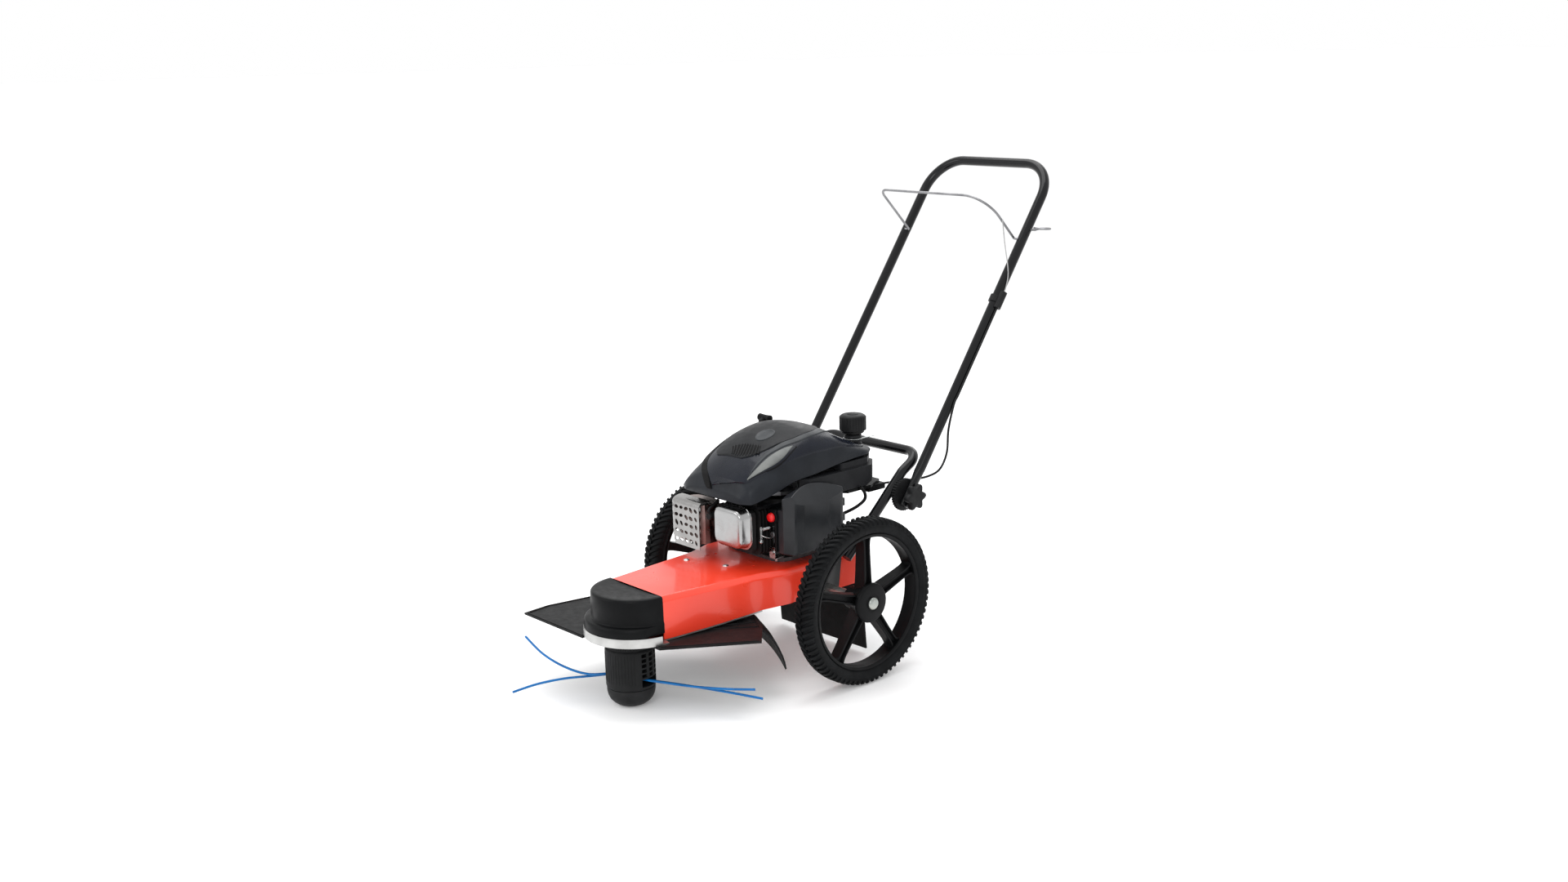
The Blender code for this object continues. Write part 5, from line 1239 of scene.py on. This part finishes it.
shroud_stations = ((-0.178, 0.386, 0.402, -0.108, 0.072), (-0.165, 0.386, 0.430, -0.130, 0.092),
                   (-0.120, 0.400, 0.466, -0.140, 0.106), (-0.060, 0.420, 0.499, -0.142, 0.112),
                   (0.000, 0.427, 0.514, -0.142, 0.115), (0.060, 0.436, 0.504, -0.138, 0.116),
                   (0.110, 0.440, 0.479, -0.128, 0.114), (0.160, 0.440, 0.456, -0.108, 0.106),
                   (0.195, 0.438, 0.447, -0.080, 0.078))
LEFT_FULLNESS = 0.62
RIGHT_FULLNESS = 1.05
SMOOTHING = 0.75
NECK_X = 0.060
NECK_Y = 0.160


def shroud_at(y):
    last = len(shroud_stations) - 2
    i = 0
    while i < last and y > shroud_stations[i + 1][0]:
        i += 1
    one, two = shroud_stations[i], shroud_stations[i + 1]
    before = shroud_stations[max(i - 1, 0)]
    after = shroud_stations[min(i + 2, last + 1)]
    gap = two[0] - one[0]
    t = min(max((y - one[0]) / gap, 0.0), 1.0)
    values = []
    for j in range(1, 5):
        slope_one = (two[j] - before[j]) / (two[0] - before[0]) * gap
        slope_two = (after[j] - one[j]) / (after[0] - one[0]) * gap
        smooth = ((2 * t ** 3 - 3 * t ** 2 + 1) * one[j] + (t ** 3 - 2 * t ** 2 + t) * slope_one
                  + (3 * t ** 2 - 2 * t ** 3) * two[j] + (t ** 3 - t ** 2) * slope_two)
        straight = one[j] + (two[j] - one[j]) * t
        values.append(straight + (smooth - straight) * (SMOOTHING if i else 0.0))
    return values


def shroud_ring(y, inset, drop):
    low, top, right, left = shroud_at(y)
    wide = (left - right) / 2 - inset
    ring = []
    for k in range(65):
        a = math.pi * k / 64
        c, s = math.cos(a), math.sin(a)
        fullness = LEFT_FULLNESS if c > 0 else RIGHT_FULLNESS
        z = low + (top - inset - low) * abs(s) ** fullness
        ring.append(((left + right) / 2 + wide * math.copysign(abs(c) ** fullness, c), y,
                     z if 0 < k < 64 else low - drop))
    return ring


def shroud_height(x, y):
    low, top, right, left = shroud_at(y)
    c = (x - (left + right) / 2) / ((left - right) / 2)
    fullness = LEFT_FULLNESS if c > 0 else RIGHT_FULLNESS
    s = math.sqrt(max(0.0, 1 - min(abs(c), 1.0) ** (2 / fullness)))
    return low + (top - low) * s ** fullness


def on_shroud(x, y, offset):
    step = 0.0015
    slope_x = (shroud_height(x + step, y) - shroud_height(x - step, y)) / (2 * step)
    slope_y = (shroud_height(x, y + step) - shroud_height(x, y - step)) / (2 * step)
    normal = Vector((-slope_x, -slope_y, 1)).normalized()
    return tuple(Vector((x, y, shroud_height(x, y))) + normal * offset)


def draped(rights, lefts, lift, sink, edge, columns, rows):
    right_path = flowing([(x, y, 0) for x, y in rights], rows // (len(rights) - 1))
    left_path = flowing([(x, y, 0) for x, y in lefts], rows // (len(lefts) - 1))
    count = min(len(right_path), len(left_path))
    top, under = [], []
    for r in range(count):
        a, b = right_path[r], left_path[r]
        for c in range(columns + 1):
            share = c / columns
            p = a.lerp(b, share)
            end_near = min((p - right_path[0].lerp(left_path[0], share)).length,
                           (p - right_path[count - 1].lerp(left_path[count - 1], share)).length)
            near = min(end_near, (p - a).length, (p - b).length)
            rise = math.sqrt(1 - (1 - min(near / edge, 1.0)) ** 2)
            top.append(on_shroud(p.x, p.y, sink + (lift - sink) * rise))
            under.append(on_shroud(p.x, p.y, sink))
    wide = columns + 1
    faces = []
    for base, way in ((0, 1), (len(top), -1)):
        for r in range(count - 1):
            for c in range(columns):
                i = base + r * wide + c
                faces.append([i, i + 1, i + wide + 1, i + wide][::way])
    return mesh_from(top + under, faces)


def neck_hole(radius):
    return rod((NECK_X, NECK_Y, 0.4300), (NECK_X, NECK_Y, 0.5200), radius, 48)


shell_rows = [-0.178 + 0.013 * k / 6 for k in range(6)] + [-0.165 + 0.360 * k / 72 for k in range(73)]
shell = cut(loft([shroud_ring(y, 0.0, 0.0) for y in shell_rows]),
            loft([shroud_ring(min(max(y, -0.1752), 0.1922), 0.0028, 0.03) for y in shell_rows[1:-1]]),
            neck_hole(0.0203))
piece("cowl", shell, charcoal, stands_for="engine_shroud", sharp=40)

# A flat black plate under the shroud's front: painted shade in the gap between the shroud and the engine.
shade_plate = prism(oblong(-0.1150, 0.0800, -0.1385, -0.1365), "Z", 0.3750, 0.4020)
piece("front_baffle", shade_plate, painted_shade_black, sharp=40)

hood_right = [(-0.0200, -0.1745), (-0.0340, -0.1690), (-0.0600, -0.1560), (-0.0860, -0.1310),
              (-0.0920, -0.1120), (-0.0950, -0.0900), (-0.0960, -0.0600), (-0.0940, -0.0250),
              (-0.0840, 0.0150), (-0.0820, 0.0550), (-0.0840, 0.0950), (-0.0820, 0.1300), (-0.0680, 0.1620),
              (-0.0300, 0.1850)]
hood_left = [(0.0180, -0.1690), (0.0420, -0.1665), (0.0660, -0.1610), (0.0790, -0.1500), (0.0940, -0.1184),
             (0.1030, -0.0819), (0.1085, -0.0414), (0.1115, 0.0027), (0.1125, 0.0400), (0.1110, 0.0750),
             (0.1070, 0.1050), (0.0990, 0.1400), (0.0840, 0.1680), (0.0540, 0.1860)]
hood = cut(draped(hood_right, hood_left, 0.0034, -0.0014, 0.0040, 72, 143), neck_hole(0.0216))
piece("hood", hood, hood_black, sharp=50)

crown_right = [(-0.0560, -0.1270), (-0.0760, -0.1120), (-0.0840, -0.0880), (-0.0860, -0.0600),
               (-0.0800, -0.0300), (-0.0680, 0.0050), (-0.0660, 0.0400), (-0.0600, 0.0720)]
crown_left = [(0.0180, -0.1240), (0.0380, -0.1130), (0.0560, -0.0920), (0.0690, -0.0640), (0.0790, -0.0300),
              (0.0790, 0.0080), (0.0700, 0.0380), (0.0420, 0.0700)]
crown = draped(crown_right, crown_left, 0.0058, 0.0022, 0.0030, 56, 84)
piece("crown", crown, crown_grey, stands_for="recoil_cover", sharp=50)

stripe_right = [(0.0700, -0.1535), (0.0699, -0.1492), (0.0713, -0.1322), (0.0734, -0.0995), (0.0800, -0.0705),
                (0.0888, -0.0440)]
stripe_left = [(0.0706, -0.1537), (0.0745, -0.1500), (0.0868, -0.1229), (0.0946, -0.0963), (0.0958, -0.0699),
               (0.0900, -0.0420)]
piece("stripe", draped(stripe_right, stripe_left, 0.0046, 0.0018, 0.0012, 14, 60), stripe_silver,
      sharp=60)

# A thin black strip along the seam between the right lobe and the hood: painted shade in the seam's groove.
seam_right = [(-0.0330, -0.1777), (-0.0510, -0.1715), (-0.0740, -0.1585), (-0.0955, -0.1365),
              (-0.1040, -0.1120), (-0.1070, -0.0700), (-0.1055, -0.0200), (-0.0980, 0.0300)]
seam_left = [(-0.0170, -0.1777), (-0.0310, -0.1691), (-0.0530, -0.1560), (-0.0740, -0.1360),
             (-0.0860, -0.1120), (-0.0900, -0.0700), (-0.0900, -0.0200), (-0.0860, 0.0300)]
piece("cowl_seam", draped(seam_right, seam_left, 0.0042, -0.0010, 0.0008, 8, 84), painted_shade_black,
      sharp=60)

# A raised strip along the stripe's upper edge. Its lighter grey is a painted highlight on the ridge.
highlight_strip_right = [(0.0692, -0.1508), (0.0640, -0.1300), (0.0610, -0.0960), (0.0680, -0.0580), (0.0740, -0.0160),
               (0.0630, 0.0420), (0.0400, 0.0800)]
highlight_strip_left = [(0.0702, -0.1506), (0.0700, -0.1290), (0.0722, -0.0955), (0.0822, -0.0590), (0.0900, -0.0184),
              (0.0850, 0.0330), (0.0640, 0.0840)]
piece("crown_ridge", draped(highlight_strip_right, highlight_strip_left, 0.0050, 0.0018, 0.0030, 16, 84), ridge_highlight_and_plate_grey,
      sharp=60)

# A thin black strip along the stripe's lower edge: painted shade in the crease.
crease_right = [(0.0720, -0.1545), (0.0880, -0.1228), (0.0960, -0.0963), (0.0975, -0.0690), (0.0925, -0.0380)]
crease_left = [(0.0735, -0.1540), (0.0905, -0.1218), (0.0990, -0.0953), (0.1005, -0.0670), (0.0950, -0.0340)]
piece("stripe_crease", draped(crease_right, crease_left, 0.0038, 0.0018, 0.0004, 4, 60), painted_shade_black,
      sharp=60)

LOUVRES = 11
front_edge = flowing([(-0.0175, -0.1190, 0), (0.0057, -0.1200, 0), (0.0300, -0.1130, 0),
                      (0.0520, -0.1020, 0)], 10)
back_edge = flowing([(-0.0356, -0.1034, 0), (-0.0107, -0.0930, 0), (0.0150, -0.0880, 0),
                     (0.0400, -0.0860, 0)], 10)
# A black sheet under the louvres: painted shade in the vent openings.
vent_floor = draped([(p.x, p.y) for p in front_edge[::10]], [(p.x, p.y) for p in back_edge[::10]], 0.0060,
                    0.0022, 0.0006, 20, 60)
piece("crown_vent", vent_floor, painted_shade_black, sharp=50)
ribs = []
for k in range(LOUVRES):
    share = (k + 0.5) / LOUVRES * (len(front_edge) - 1)
    i = int(share)
    one = front_edge[i].lerp(front_edge[i + 1], share - i)
    two = back_edge[i].lerp(back_edge[i + 1], share - i)
    line = [on_shroud(*one.lerp(two, s).xy, 0.0062) for s in (-0.04, 0.25, 0.5, 0.75, 1.04)]
    ribs.append(tube(line, 0.0011, 10))
piece("crown_louvres", joined(*ribs), crown_grey, sharp=50)

PLATE_X = 0.0175
PLATE_Y = -0.0550
plate_rings = []
for radius, rise in ((0.0205, 0.0052), (0.0205, 0.0064), (0.0198, 0.0069), (0.0180, 0.0070), (0.0172, 0.0064),
                     (0.0060, 0.0064)):
    plate_rings.append([on_shroud(PLATE_X + radius * math.cos(a), PLATE_Y + radius * math.sin(a), rise)
                        for a in around(48)])
piece("bare_round_plate", loft(plate_rings), ridge_highlight_and_plate_grey, sharp=50)


# Fuel tank
# Blow moulded black polyethylene behind the flywheel, with an arm along the left side, a
# welded seam round it and a threaded neck. Its label place is left bare.
tank_black = moulded("tank_polyethylene", (0.0080, 0.0085, 0.0100), (0.0130, 0.0136, 0.0155), 0.42, 300.0,
                     0.12)

TANK_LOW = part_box("fuel_tank")[0].z
TANK_SHELF = 0.4200
TANK_TOP = 0.4350
lower_outline = rounded([(-0.070, 0.066), (-0.070, 0.160), (-0.030, 0.192), (0.088, 0.192), (0.124, 0.156),
                         (0.124, -0.030), (0.104, -0.040), (0.0992, -0.040), (0.0992, 0.066)],
                        [0.008, 0.012, 0.012, 0.012, 0.012, 0.006, 0.003, 0.001, 0.004], 5)
upper_outline = rounded([(-0.066, 0.070), (-0.066, 0.158), (-0.028, 0.186), (0.084, 0.186), (0.116, 0.150),
                         (0.116, 0.070)], [0.006, 0.012, 0.012, 0.012, 0.012, 0.006], 5)
lower_tank = prism(lower_outline, "Z", TANK_LOW, TANK_SHELF)
upper_tank = prism(upper_outline, "Z", TANK_SHELF - 0.001, TANK_TOP)
neck_root = rod((NECK_X, NECK_Y, TANK_TOP - 0.004), (NECK_X, NECK_Y, TANK_TOP + 0.0060), 0.0220, 48)
rear_slope = prism([(0.1260, 0.3700), (0.2100, 0.3700), (0.2100, 0.4100), (0.1925, 0.4030)], "X", -0.10, 0.15)
tank = cut(fused(lower_tank, upper_tank, neck_root), rear_slope)
piece("tank_body", tank, tank_black, stands_for="fuel_tank", sharp=35, edge=0.0020, segments=3)

neck_profile = [(0.0, TANK_TOP + 0.0050), (0.0196, TANK_TOP + 0.0050)]
for k in range(4):
    z = TANK_TOP + 0.0110 + 0.0075 * k
    neck_profile += [(0.0188, z), (0.0199, z + 0.0014), (0.0199, z + 0.0030), (0.0188, z + 0.0044)]
neck_profile += [(0.0188, 0.4757), (0.0180, 0.4765), (0.0152, 0.4765), (0.0150, 0.4755), (0.0150, 0.4450),
                 (0.0, 0.4450)]
piece("tank_neck", turned(neck_profile, (NECK_X, NECK_Y, 0), "Z", 64), tank_black, sharp=40)


# Fuel cap and tether
# A ribbed polypropylene cap turns on the neck's thread, with a plug that seals in the bore.
# A loop of thin plated wire ties it to a ring round the neck.
cap_black = moulded("cap_polypropylene", (0.0070, 0.0072, 0.0078), (0.0120, 0.0123, 0.0130), 0.42, 500.0,
                    0.15)

CAP_Z = 0.4768
CAP_RADIUS = 0.0300
cap_profile = [(0.0, -0.0233), (0.0135, -0.0233), (0.0146, -0.0222), (0.0146, 0.0038), (0.0236, 0.0038),
               (0.0246, 0.0046), (0.0250, 0.0086), (0.0276, 0.0092), (0.0288, 0.0106), (0.0288, 0.0388),
               (0.0282, 0.0404), (0.0266, 0.0420), (0.0240, 0.0436), (0.0190, 0.0445), (0.0, 0.0447)]
CAP_RIBS = 26
cap_rib = loft([[(0.0280, -w, z), (CAP_RADIUS - w * 0.3, -w * 0.5, z), (CAP_RADIUS - w * 0.3, w * 0.5, z),
                 (0.0280, w, z)] for z, w in ((0.0102, 0.0013), (0.0120, 0.0016), (0.0370, 0.0016),
                                              (0.0396, 0.0010))])
cap = joined(turned(cap_profile, (0, 0, 0), "Z", 96),
             repeated(cap_rib, CAP_RIBS, cap_black, turn=(0, 0, 2 * math.pi / CAP_RIBS)),
             turned([(0.0, 0.0442), (0.0120, 0.0442), (0.0126, 0.0450), (0.0118, 0.0456), (0.0, 0.0456)],
                    (0, 0, 0), "Z", 48))
piece("filler_cap", shifted(cap, (NECK_X, NECK_Y, CAP_Z)), cap_black, "fuel_cap", stands_for="fuel_cap",
      sharp=40)

tether = tube(flowing([(0.0811, 0.1600, 0.4685), (0.0900, 0.1720, 0.4725), (0.0960, 0.1880, 0.4735),
                       (0.0880, 0.1960, 0.4715), (0.0780, 0.1880, 0.4695), (0.0728, 0.1765, 0.4675)], 10),
              0.0010, 10)
RING_RADIUS = 0.0206
ring_angles = [math.radians(degrees) for degrees in range(0, 360, 8)]
tether_ring = tube([(NECK_X + RING_RADIUS * math.cos(a), NECK_Y + RING_RADIUS * math.sin(a), 0.4680)
                    for a in ring_angles], 0.0007, 8, closed=True)
piece("cap_tether_wire", joined(tether, tether_ring), zinc, stands_for="cap_tether", sharp=50)


# Oil filler, fuel hose and starter grip
# The dipstick cap screws on a stub at the block's right rear. A black rubber hose brings fuel
# round to the filter side, and a T shaped grip ends the starter rope in the shroud's crown.
stub_end = (-0.0760, 0.0900, 0.3280)
oil_stub = tube([(-0.0600, 0.0600, 0.2900), stub_end], 0.0100, 32)
oil_cap = tube([stub_end, (-0.0764, 0.0908, 0.3290), (-0.0799, 0.0972, 0.3372), (-0.0803, 0.0980, 0.3382)],
               [0.0140, 0.0150, 0.0150, 0.0138], 32)
block_space = slab(-0.0723, 0.068, -0.075, 0.0603, 0.25, 0.40, 0.020)
oil = cut(fused(oil_stub, oil_cap), block_space)
piece("oil_filler", oil, satin_black, stands_for="oil_filler_cap", sharp=40)


def eased(points, steps=12):
    path = flowing(points, steps)
    for _ in range(3):
        inner = [(path[i - 1] + path[i] * 2 + path[i + 1]) / 4 for i in range(1, len(path) - 1)]
        path = [path[0], *inner, path[-1]]
    return path


hose_rubber = moulded("hose_rubber", (0.0060, 0.0060, 0.0064), (0.0105, 0.0105, 0.0110), 0.50, 400.0, 0.12)
hose = tube(eased([(0.1290, 0.1140, 0.3780), (0.1330, 0.1230, 0.3640), (0.1310, 0.1240, 0.3480),
                   (0.1200, 0.1080, 0.3320), (0.1020, 0.0820, 0.3180), (0.0980, 0.0620, 0.3150),
                   (0.0980, 0.0454, 0.3150)], 10), 0.0035, 16)
piece("fuel_line", hose, hose_rubber, stands_for="fuel_hose", sharp=60)

pull = Vector((0.0, 0.8, 0.6))
seat = Vector((-0.0950, 0.0200, 0.4932))
hold = seat + pull * 0.026
bar = []
bar_radii = []
for k in range(13):
    share = k / 6 - 1
    end_share = max(0.0, (abs(share) - 0.85) / 0.15)
    bar.append(hold + Vector((0.020 * share, 0, 0)))
    bar_radii.append((0.0085 - 0.0012 * (1 - share * share)) * math.sqrt(1 - end_share ** 2 * 0.7))
grip = fused(tube([seat + pull * s for s in (0.0100, 0.0115, 0.0180, 0.0260)],
                  [0.0060, 0.0075, 0.0070, 0.0070], 32),
             tube(bar, bar_radii, 32), tube([seat, seat + pull * 0.012], 0.0028, 20))
piece("starter_grip", grip, satin_black, "recoil", stands_for="recoil_grip", sharp=45)


# Lower handle
# A loop of 22 mm steel tube in gloss black enamel, bolted inside the frame bars, whose cross
# bar runs behind the engine with room for a hand at the fuel cap.
gloss_black = enamel("gloss_black_enamel", (0.0035, 0.0037, 0.0044), (0.0055, 0.0058, 0.0068), 0.20, 0.12,
                     0.20)
TUBE_RADIUS = 0.011
LOWER_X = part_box("lower_handle")[1].x - TUBE_RADIUS

lower_left = [(-LOWER_X, 0.048, 0.2370), (-LOWER_X, 0.2190, 0.3970), (-LOWER_X, 0.275, 0.428)]
lower_path = rounded(lower_left + [(-x, y, z) for x, y, z in lower_left[::-1]],
                     [0, 0.060, 0.038, 0.038, 0.060, 0], 12)
piece("lower_tube", tube(lower_path, TUBE_RADIUS, 32), gloss_black, stands_for="lower_handle", sharp=60)


# Handle pivots
# Two toothed nylon discs a side lock the handle at its slope. A zinc plated bolt and a black
# star knob clamp them, and backing the knobs off lets the handle fold.
disc_nylon = moulded("disc_nylon", (0.0095, 0.0098, 0.0105), (0.0160, 0.0165, 0.0175), 0.48, 600.0, 0.2)
PIVOT_Y = centre_of("left_pivot_bolt")[1] - AXLE_Y
PIVOT_Z = centre_of("left_pivot_bolt")[2]
DISC_RADIUS = 0.0360
TEETH = 36
TOOTH_HALF = 0.0012


def toothed_disc(node):
    low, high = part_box(node)[0].x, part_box(node)[1].x
    teeth = []
    for a in around(TEETH * 8):
        radius = DISC_RADIUS - TOOTH_HALF + TOOTH_HALF * math.cos(TEETH * a)
        teeth.append((PIVOT_Y + radius * math.cos(a), PIVOT_Z + radius * math.sin(a)))
    bore = rod((low - 0.01, PIVOT_Y, PIVOT_Z), (high + 0.01, PIVOT_Y, PIVOT_Z), 0.0043, 24)
    return cut(prism(teeth, "X", low, high), bore)


for label in ("left", "right"):
    for name, node, body in (("_fixed_disc", "_inner_disc", "chassis"),
                             ("_turning_disc", "_outer_disc", "handle")):
        piece(label + name, toothed_disc(label + node), disc_nylon, body, stands_for=label + node, sharp=50)

KNOB_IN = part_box("left_knob")[0].x
KNOB_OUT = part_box("left_knob")[1].x
KNOB_LOBES = 6


def star_knob(side):
    rings = []
    for x, grow, wave_share in ((KNOB_IN + 0.0055, -0.0030, 0.6), (KNOB_IN + 0.0062, -0.0012, 0.9),
                                (KNOB_IN + 0.0080, 0.0, 1.0), (KNOB_OUT - 0.0045, 0.0, 1.0),
                                (KNOB_OUT - 0.0020, -0.0010, 1.0), (KNOB_OUT - 0.0006, -0.0032, 0.9),
                                (KNOB_OUT, -0.0060, 0.8), (KNOB_OUT - 0.0004, -0.0130, 0.4)):
        ring = []
        for a in around(144):
            lobes = math.cos(KNOB_LOBES * a)
            r = 0.0258 + 0.0042 * wave_share * (lobes if lobes > 0 else lobes * 1.15) + grow
            ring.append((x, PIVOT_Y + r * math.cos(a), PIVOT_Z + r * math.sin(a)))
        rings.append(ring)
    shank = [(0.0125, KNOB_IN), (0.0132, KNOB_IN + 0.0010), (0.0150, KNOB_IN + 0.0064),
             (0.0, KNOB_IN + 0.0064), (0.0, KNOB_IN)]
    body = joined(loft(rings), turned(shank[::-1], (0, PIVOT_Y, PIVOT_Z), "X", 32))
    return body if side > 0 else mirrored(body)


for side, label in ((1, "left"), (-1, "right")):
    piece(label + "_star_knob", star_knob(side), disc_nylon, label + "_knob", stands_for=label + "_knob",
          sharp=40)
    dress(label + "_pivot_bolt", zinc)


# Upper handle
# One length of the same tube, bent twice at the top into the push bar and flattened at its
# feet where the pivot bolts pass through. The gloss enamel runs over the whole of it.
HANDLE_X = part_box("upper_handle")[1].x - TUBE_RADIUS
HANDLE_TOP = Vector((0, 0.691, 1.030))
fold = Vector((0, PIVOT_Y, PIVOT_Z))
up_tube = (HANDLE_TOP - fold).normalized()
FLAT_HALF = 0.0080
flat_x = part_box("left_outer_disc")[1].x + SEAT_GAP + FLAT_HALF
upper_left = [Vector((x, 0, 0)) + fold + up_tube * along for x, along in
              ((flat_x, -0.026), (flat_x, 0.030), (flat_x + 0.0004, 0.040), (HANDLE_X - 0.0008, 0.056))]
bend_start = fold + up_tube * 0.066
top_bend = rounded([(HANDLE_X, *bend_start.yz), (HANDLE_X, *HANDLE_TOP.yz), (-HANDLE_X, *HANDLE_TOP.yz),
                    (-HANDLE_X, *bend_start.yz)], [0, 0.085, 0.085, 0], 20)
upper_path = upper_left + top_bend + [Vector((-p.x, p.y, p.z)) for p in upper_left[::-1]]
flats = {0: 0.727, 1: 0.727, 2: 0.76, 3: 0.95}


def flattened(i):
    return flats.get(i, flats.get(len(upper_path) - 1 - i, 1.0))


piece("upper_tube", tube(upper_path, TUBE_RADIUS, 32, squeeze=flattened), gloss_black, "handle",
      stands_for="upper_handle", sharp=60)


# Bail and rope guide
# Sprung 5.5 mm wire, bright drawn and lightly oiled. The bail hooks through both tubes, with a
# tight corner on the right and a wide one on the left; the guide is a pigtail for the rope.
spring_wire = bare_metal("spring_wire", (0.20, 0.20, 0.21), (0.30, 0.30, 0.31), 0.38, (1, 1, 10), 300.0, 0.05)
BAIL_RADIUS = 0.00275


def tube_height(y):
    return PIVOT_Z + (y - PIVOT_Y) * up_tube.z / up_tube.y


BAIL_Y = 0.570
BAIL_Z = tube_height(BAIL_Y) + 0.0137
BAIL_BAR_Y = 0.473
BAIL_BAR_Z = BAIL_Z + 0.101
BAIL_X = HANDLE_X - 0.0166
bail_end = HANDLE_X - 0.0041
bail_right = [(-bail_end, BAIL_Y, BAIL_Z), (-BAIL_X, BAIL_Y, BAIL_Z), (-BAIL_X, BAIL_BAR_Y, BAIL_BAR_Z)]
bail_path = rounded(bail_right + [(-x, y, z) for x, y, z in bail_right[::-1]],
                    [0, 0.004, 0.022, 0.065, 0.004, 0], 12)
piece("bail_wire_loop", tube(bail_path, BAIL_RADIUS, 16), spring_wire, "bail", stands_for="bail", sharp=60)

GUIDE_Y = 0.5950
guide_z = tube_height(GUIDE_Y) - 0.002
guide_path = [(HANDLE_X + out, GUIDE_Y, guide_z) for out in (TUBE_RADIUS - 0.003, 0.0170, 0.0214)]
for k in range(41):
    a = math.radians(180 - 300 * k / 40)
    guide_path.append((HANDLE_X + 0.0424 + 0.0190 * math.cos(a), GUIDE_Y + 0.0170 * math.sin(a),
                       guide_z + 0.00195 * min(k / 6, 1) + 0.0045 * k / 40))
piece("rope_pigtail", tube(guide_path, 0.0025, 16), spring_wire, "handle", stands_for="rope_guide", sharp=60)


# Control cable
# A 5 mm sheathed cable runs from a barrel adjuster on the left tube down to the engine. Above
# the adjuster the bare inner wire rises to the bail's left leg and pulls when the bail closes.
sheath_black = moulded("cable_sheath", (0.0100, 0.0102, 0.0108), (0.0170, 0.0175, 0.0180), 0.44, 500.0, 0.15)
bright_wire = bare_metal("stranded_wire", (0.34, 0.34, 0.34), (0.48, 0.48, 0.48), 0.42, (1, 1, 30), 500.0,
                         0.2)
CABLE_RADIUS = 0.0025
CABLE_X = HANDLE_X + TUBE_RADIUS + SEAT_GAP + CABLE_RADIUS
BARREL_Y = 0.4780
RUN_END_Y = 0.3500
barrel_high = Vector((CABLE_X, BARREL_Y, tube_height(BARREL_Y))) + up_tube * 0.040
run_end = Vector((CABLE_X, RUN_END_Y, tube_height(RUN_END_Y)))

dress("cable_adjuster", sheath_black)
dress("cable_upper", sheath_black)
lower_cable = tube(eased([run_end - up_tube * SEAT_GAP, run_end - up_tube * 0.020, (0.1955, 0.3200, 0.4800),
                          (0.1955, 0.3150, 0.4300), (0.1930, 0.2950, 0.3950), (0.1800, 0.2700, 0.3810),
                          (0.1550, 0.2500, 0.3740), (0.1250, 0.2350, 0.3660), (0.1070, 0.2160, 0.3640),
                          (0.1070, 0.2003, 0.3640)]), CABLE_RADIUS, 14)
slack = piece("cable_to_engine", lower_cable, sheath_black, None, stands_for="cable_lower", sharp=60)
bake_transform(slack)

bail_leg = Vector((0, BAIL_BAR_Y - BAIL_Y, BAIL_BAR_Z - BAIL_Z))
HOOK_SHARE = 0.464
hook = Vector((BAIL_X + 0.0048, BAIL_Y, BAIL_Z)) + bail_leg * HOOK_SHARE
lift = Vector((0, -up_tube.z, up_tube.y))
inner_wire = tube(eased([barrel_high + up_tube * SEAT_GAP, barrel_high + up_tube * 0.012,
                         barrel_high + up_tube * 0.045 + lift * 0.014,
                         hook + Vector((0.0152, -0.0100, -0.0498)), hook]), 0.0012, 10)
pull_wire = piece("bail_pull_wire", inner_wire, bright_wire, None, stands_for="bail_wire", sharp=60)
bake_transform(pull_wire)


# Size
# The box of the finished machine is found in metres.
low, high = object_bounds()
